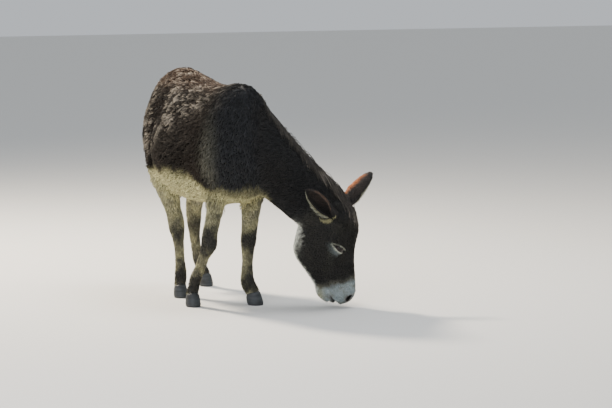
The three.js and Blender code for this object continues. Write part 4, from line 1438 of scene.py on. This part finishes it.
# ---- eyes ----------------------------------------------------------------------------------
CORNEA = 0.045  # how far it stands proud, as a share of the radius
eye_wet, tree = new_material("wet_eye")
shade = add(tree, "VertexColor", {"layer_name": "iris"})
values = {"Roughness": 0.15, "Coat Weight": 0.15, "Coat Roughness": 0.03, "Specular IOR Level": 0.25}
finish_material(tree, values | {"Base Color": shade.outputs["Color"]})
for name, hand in HANDS.items():
    bpy.ops.object.select_all(action="DESELECT")
    size = EYE_RADIUS * MM
    bpy.ops.mesh.primitive_uv_sphere_add(segments=64, ring_count=48, radius=size, location=(0, 0, 0))
    eye = bpy.context.object
    eye.name = "eyeball_" + name
    outward, front, upper = eye_axes(hand)
    p = points_of(eye)
    tilt = np.degrees(np.arccos(np.clip(unit(p)[:, 2], -1, 1)))
    p = p * (1 + CORNEA * (1 - ease(tilt, 12, 34)))[:, None]
    across = p[:, 0] / MM
    above = p[:, 1] / MM
    pupil = 1 - ease(np.hypot(across / 8.5, above / 4.2), 0.85, 1.1)
    iris = 1 - ease(np.hypot(across, above), 12.5, 14.5)
    tint = mix("eye_white", "iris", iris)
    tint = mix(tint, "pupil", pupil)
    paint = eye.data.color_attributes.new("iris", "FLOAT_COLOR", "POINT")
    paint.data.foreach_set("color", np.hstack([tint, np.ones((len(p), 1))]).ravel())
    across_way = front if np.cross(front, upper) @ outward > 0 else -front
    turned = np.outer(p[:, 0], across_way) + np.outer(p[:, 1], upper) + np.outer(p[:, 2], outward)
    place_points(eye, EYE_AT[hand] + turned)
    only(eye)
    bpy.ops.object.shade_smooth()
    eye.data.materials.append(eye_wet)
    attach(eye, "root")
    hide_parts("eye_" + name)

# ---- hooves ----------------------------------------------------------------------------------
horn, tree = new_material("hoof_horn")
place = add(tree, "TexCoord").outputs["Object"]
# growth rings about 11 mm apart and upright fibres about 2.4 mm apart
squeeze = add(tree, "Mapping", {"Scale": (14.0, 14.0, 90.0), "Vector": place}).outputs["Vector"]
rings_noise = add(tree, "TexNoise", {"Scale": 1.0, "Detail": 4.0, "Vector": squeeze})
drawn = add(tree, "Mapping", {"Scale": (420.0, 420.0, 24.0), "Vector": place}).outputs["Vector"]
fibres = add(tree, "TexNoise", {"Scale": 1.0, "Detail": 3.0, "Vector": drawn}).outputs["Fac"]
ramp = add(tree, "ValToRGB", {"Fac": rings_noise.outputs["Fac"]})
for stop, code, position in zip(ramp.color_ramp.elements, ("#131517", "#3a3f42"), (0.25, 0.8)):
    stop.color = linear(code)
    stop.position = position
limits = {"From Min": 0.3, "From Max": 0.7, "To Min": 0.82, "To Max": 1.15}
worn = add(tree, "MapRange", limits | {"Value": fibres})
bump = add(tree, "Bump", {"Strength": 0.4, "Distance": 0.0008, "Height": fibres})
shade = scaled(tree, ramp.outputs["Color"], worn.outputs["Result"])
finish_material(tree, {"Roughness": 0.62, "Base Color": shade, "Normal": bump.outputs["Normal"]})

LEVEL_ONLY = np.array([1.0, 1.0, 0.0])
SOLE_HEIGHT = 1.2 * MM  # points below this belong to the sole
WALL_RADIUS = 18 * MM  # points farther out than this belong to the wall
for name in HOOVES:
    hoof = bpy.data.objects.new("horn_" + name, flesh[name].data.copy())
    bpy.context.collection.objects.link(hoof)
    place_points(hoof, points_of(hoof) - normals_of(hoof) * OVERLAP)
    only(hoof)
    bpy.ops.object.mode_set(mode="EDIT")
    bpy.ops.mesh.select_all(action="SELECT")
    bpy.ops.mesh.subdivide(number_cuts=5)
    bpy.ops.object.mode_set(mode="OBJECT")
    p = points_of(hoof)
    sole = p[:, 2] < SOLE_HEIGHT
    eased = spread(p, pairs_of(hoof), 26, 0.5)
    centre = p.mean(0)
    eased[:, 2] = np.where(sole, 0.0, p[:, 2])
    out_way = unit((eased - centre) * LEVEL_ONLY)
    height = eased[:, 2] / MM
    ring = 0.45 * np.sin(height / 1.35 + 0.8 * np.sin(height / 6.0)) * ease(height, 1, 6)
    swell = 1.6 + ring + 0.8 * hump(height, 60, 6)
    wall = np.linalg.norm((p - centre) * LEVEL_ONLY, axis=1) > WALL_RADIUS
    eased += out_way * (swell * wall * MM)[:, None]
    eased[:, 2] = np.where(sole, 0.0, np.maximum(eased[:, 2], 0.0))
    place_points(hoof, eased)
    bpy.ops.object.shade_smooth()
    hoof.data.materials.clear()
    hoof.data.materials.append(horn)
    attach(hoof, "root")
    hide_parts(name)

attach(skin, "root")
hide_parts(*FLESH, *EARS)
for piece in flesh.values():
    bpy.data.objects.remove(piece)
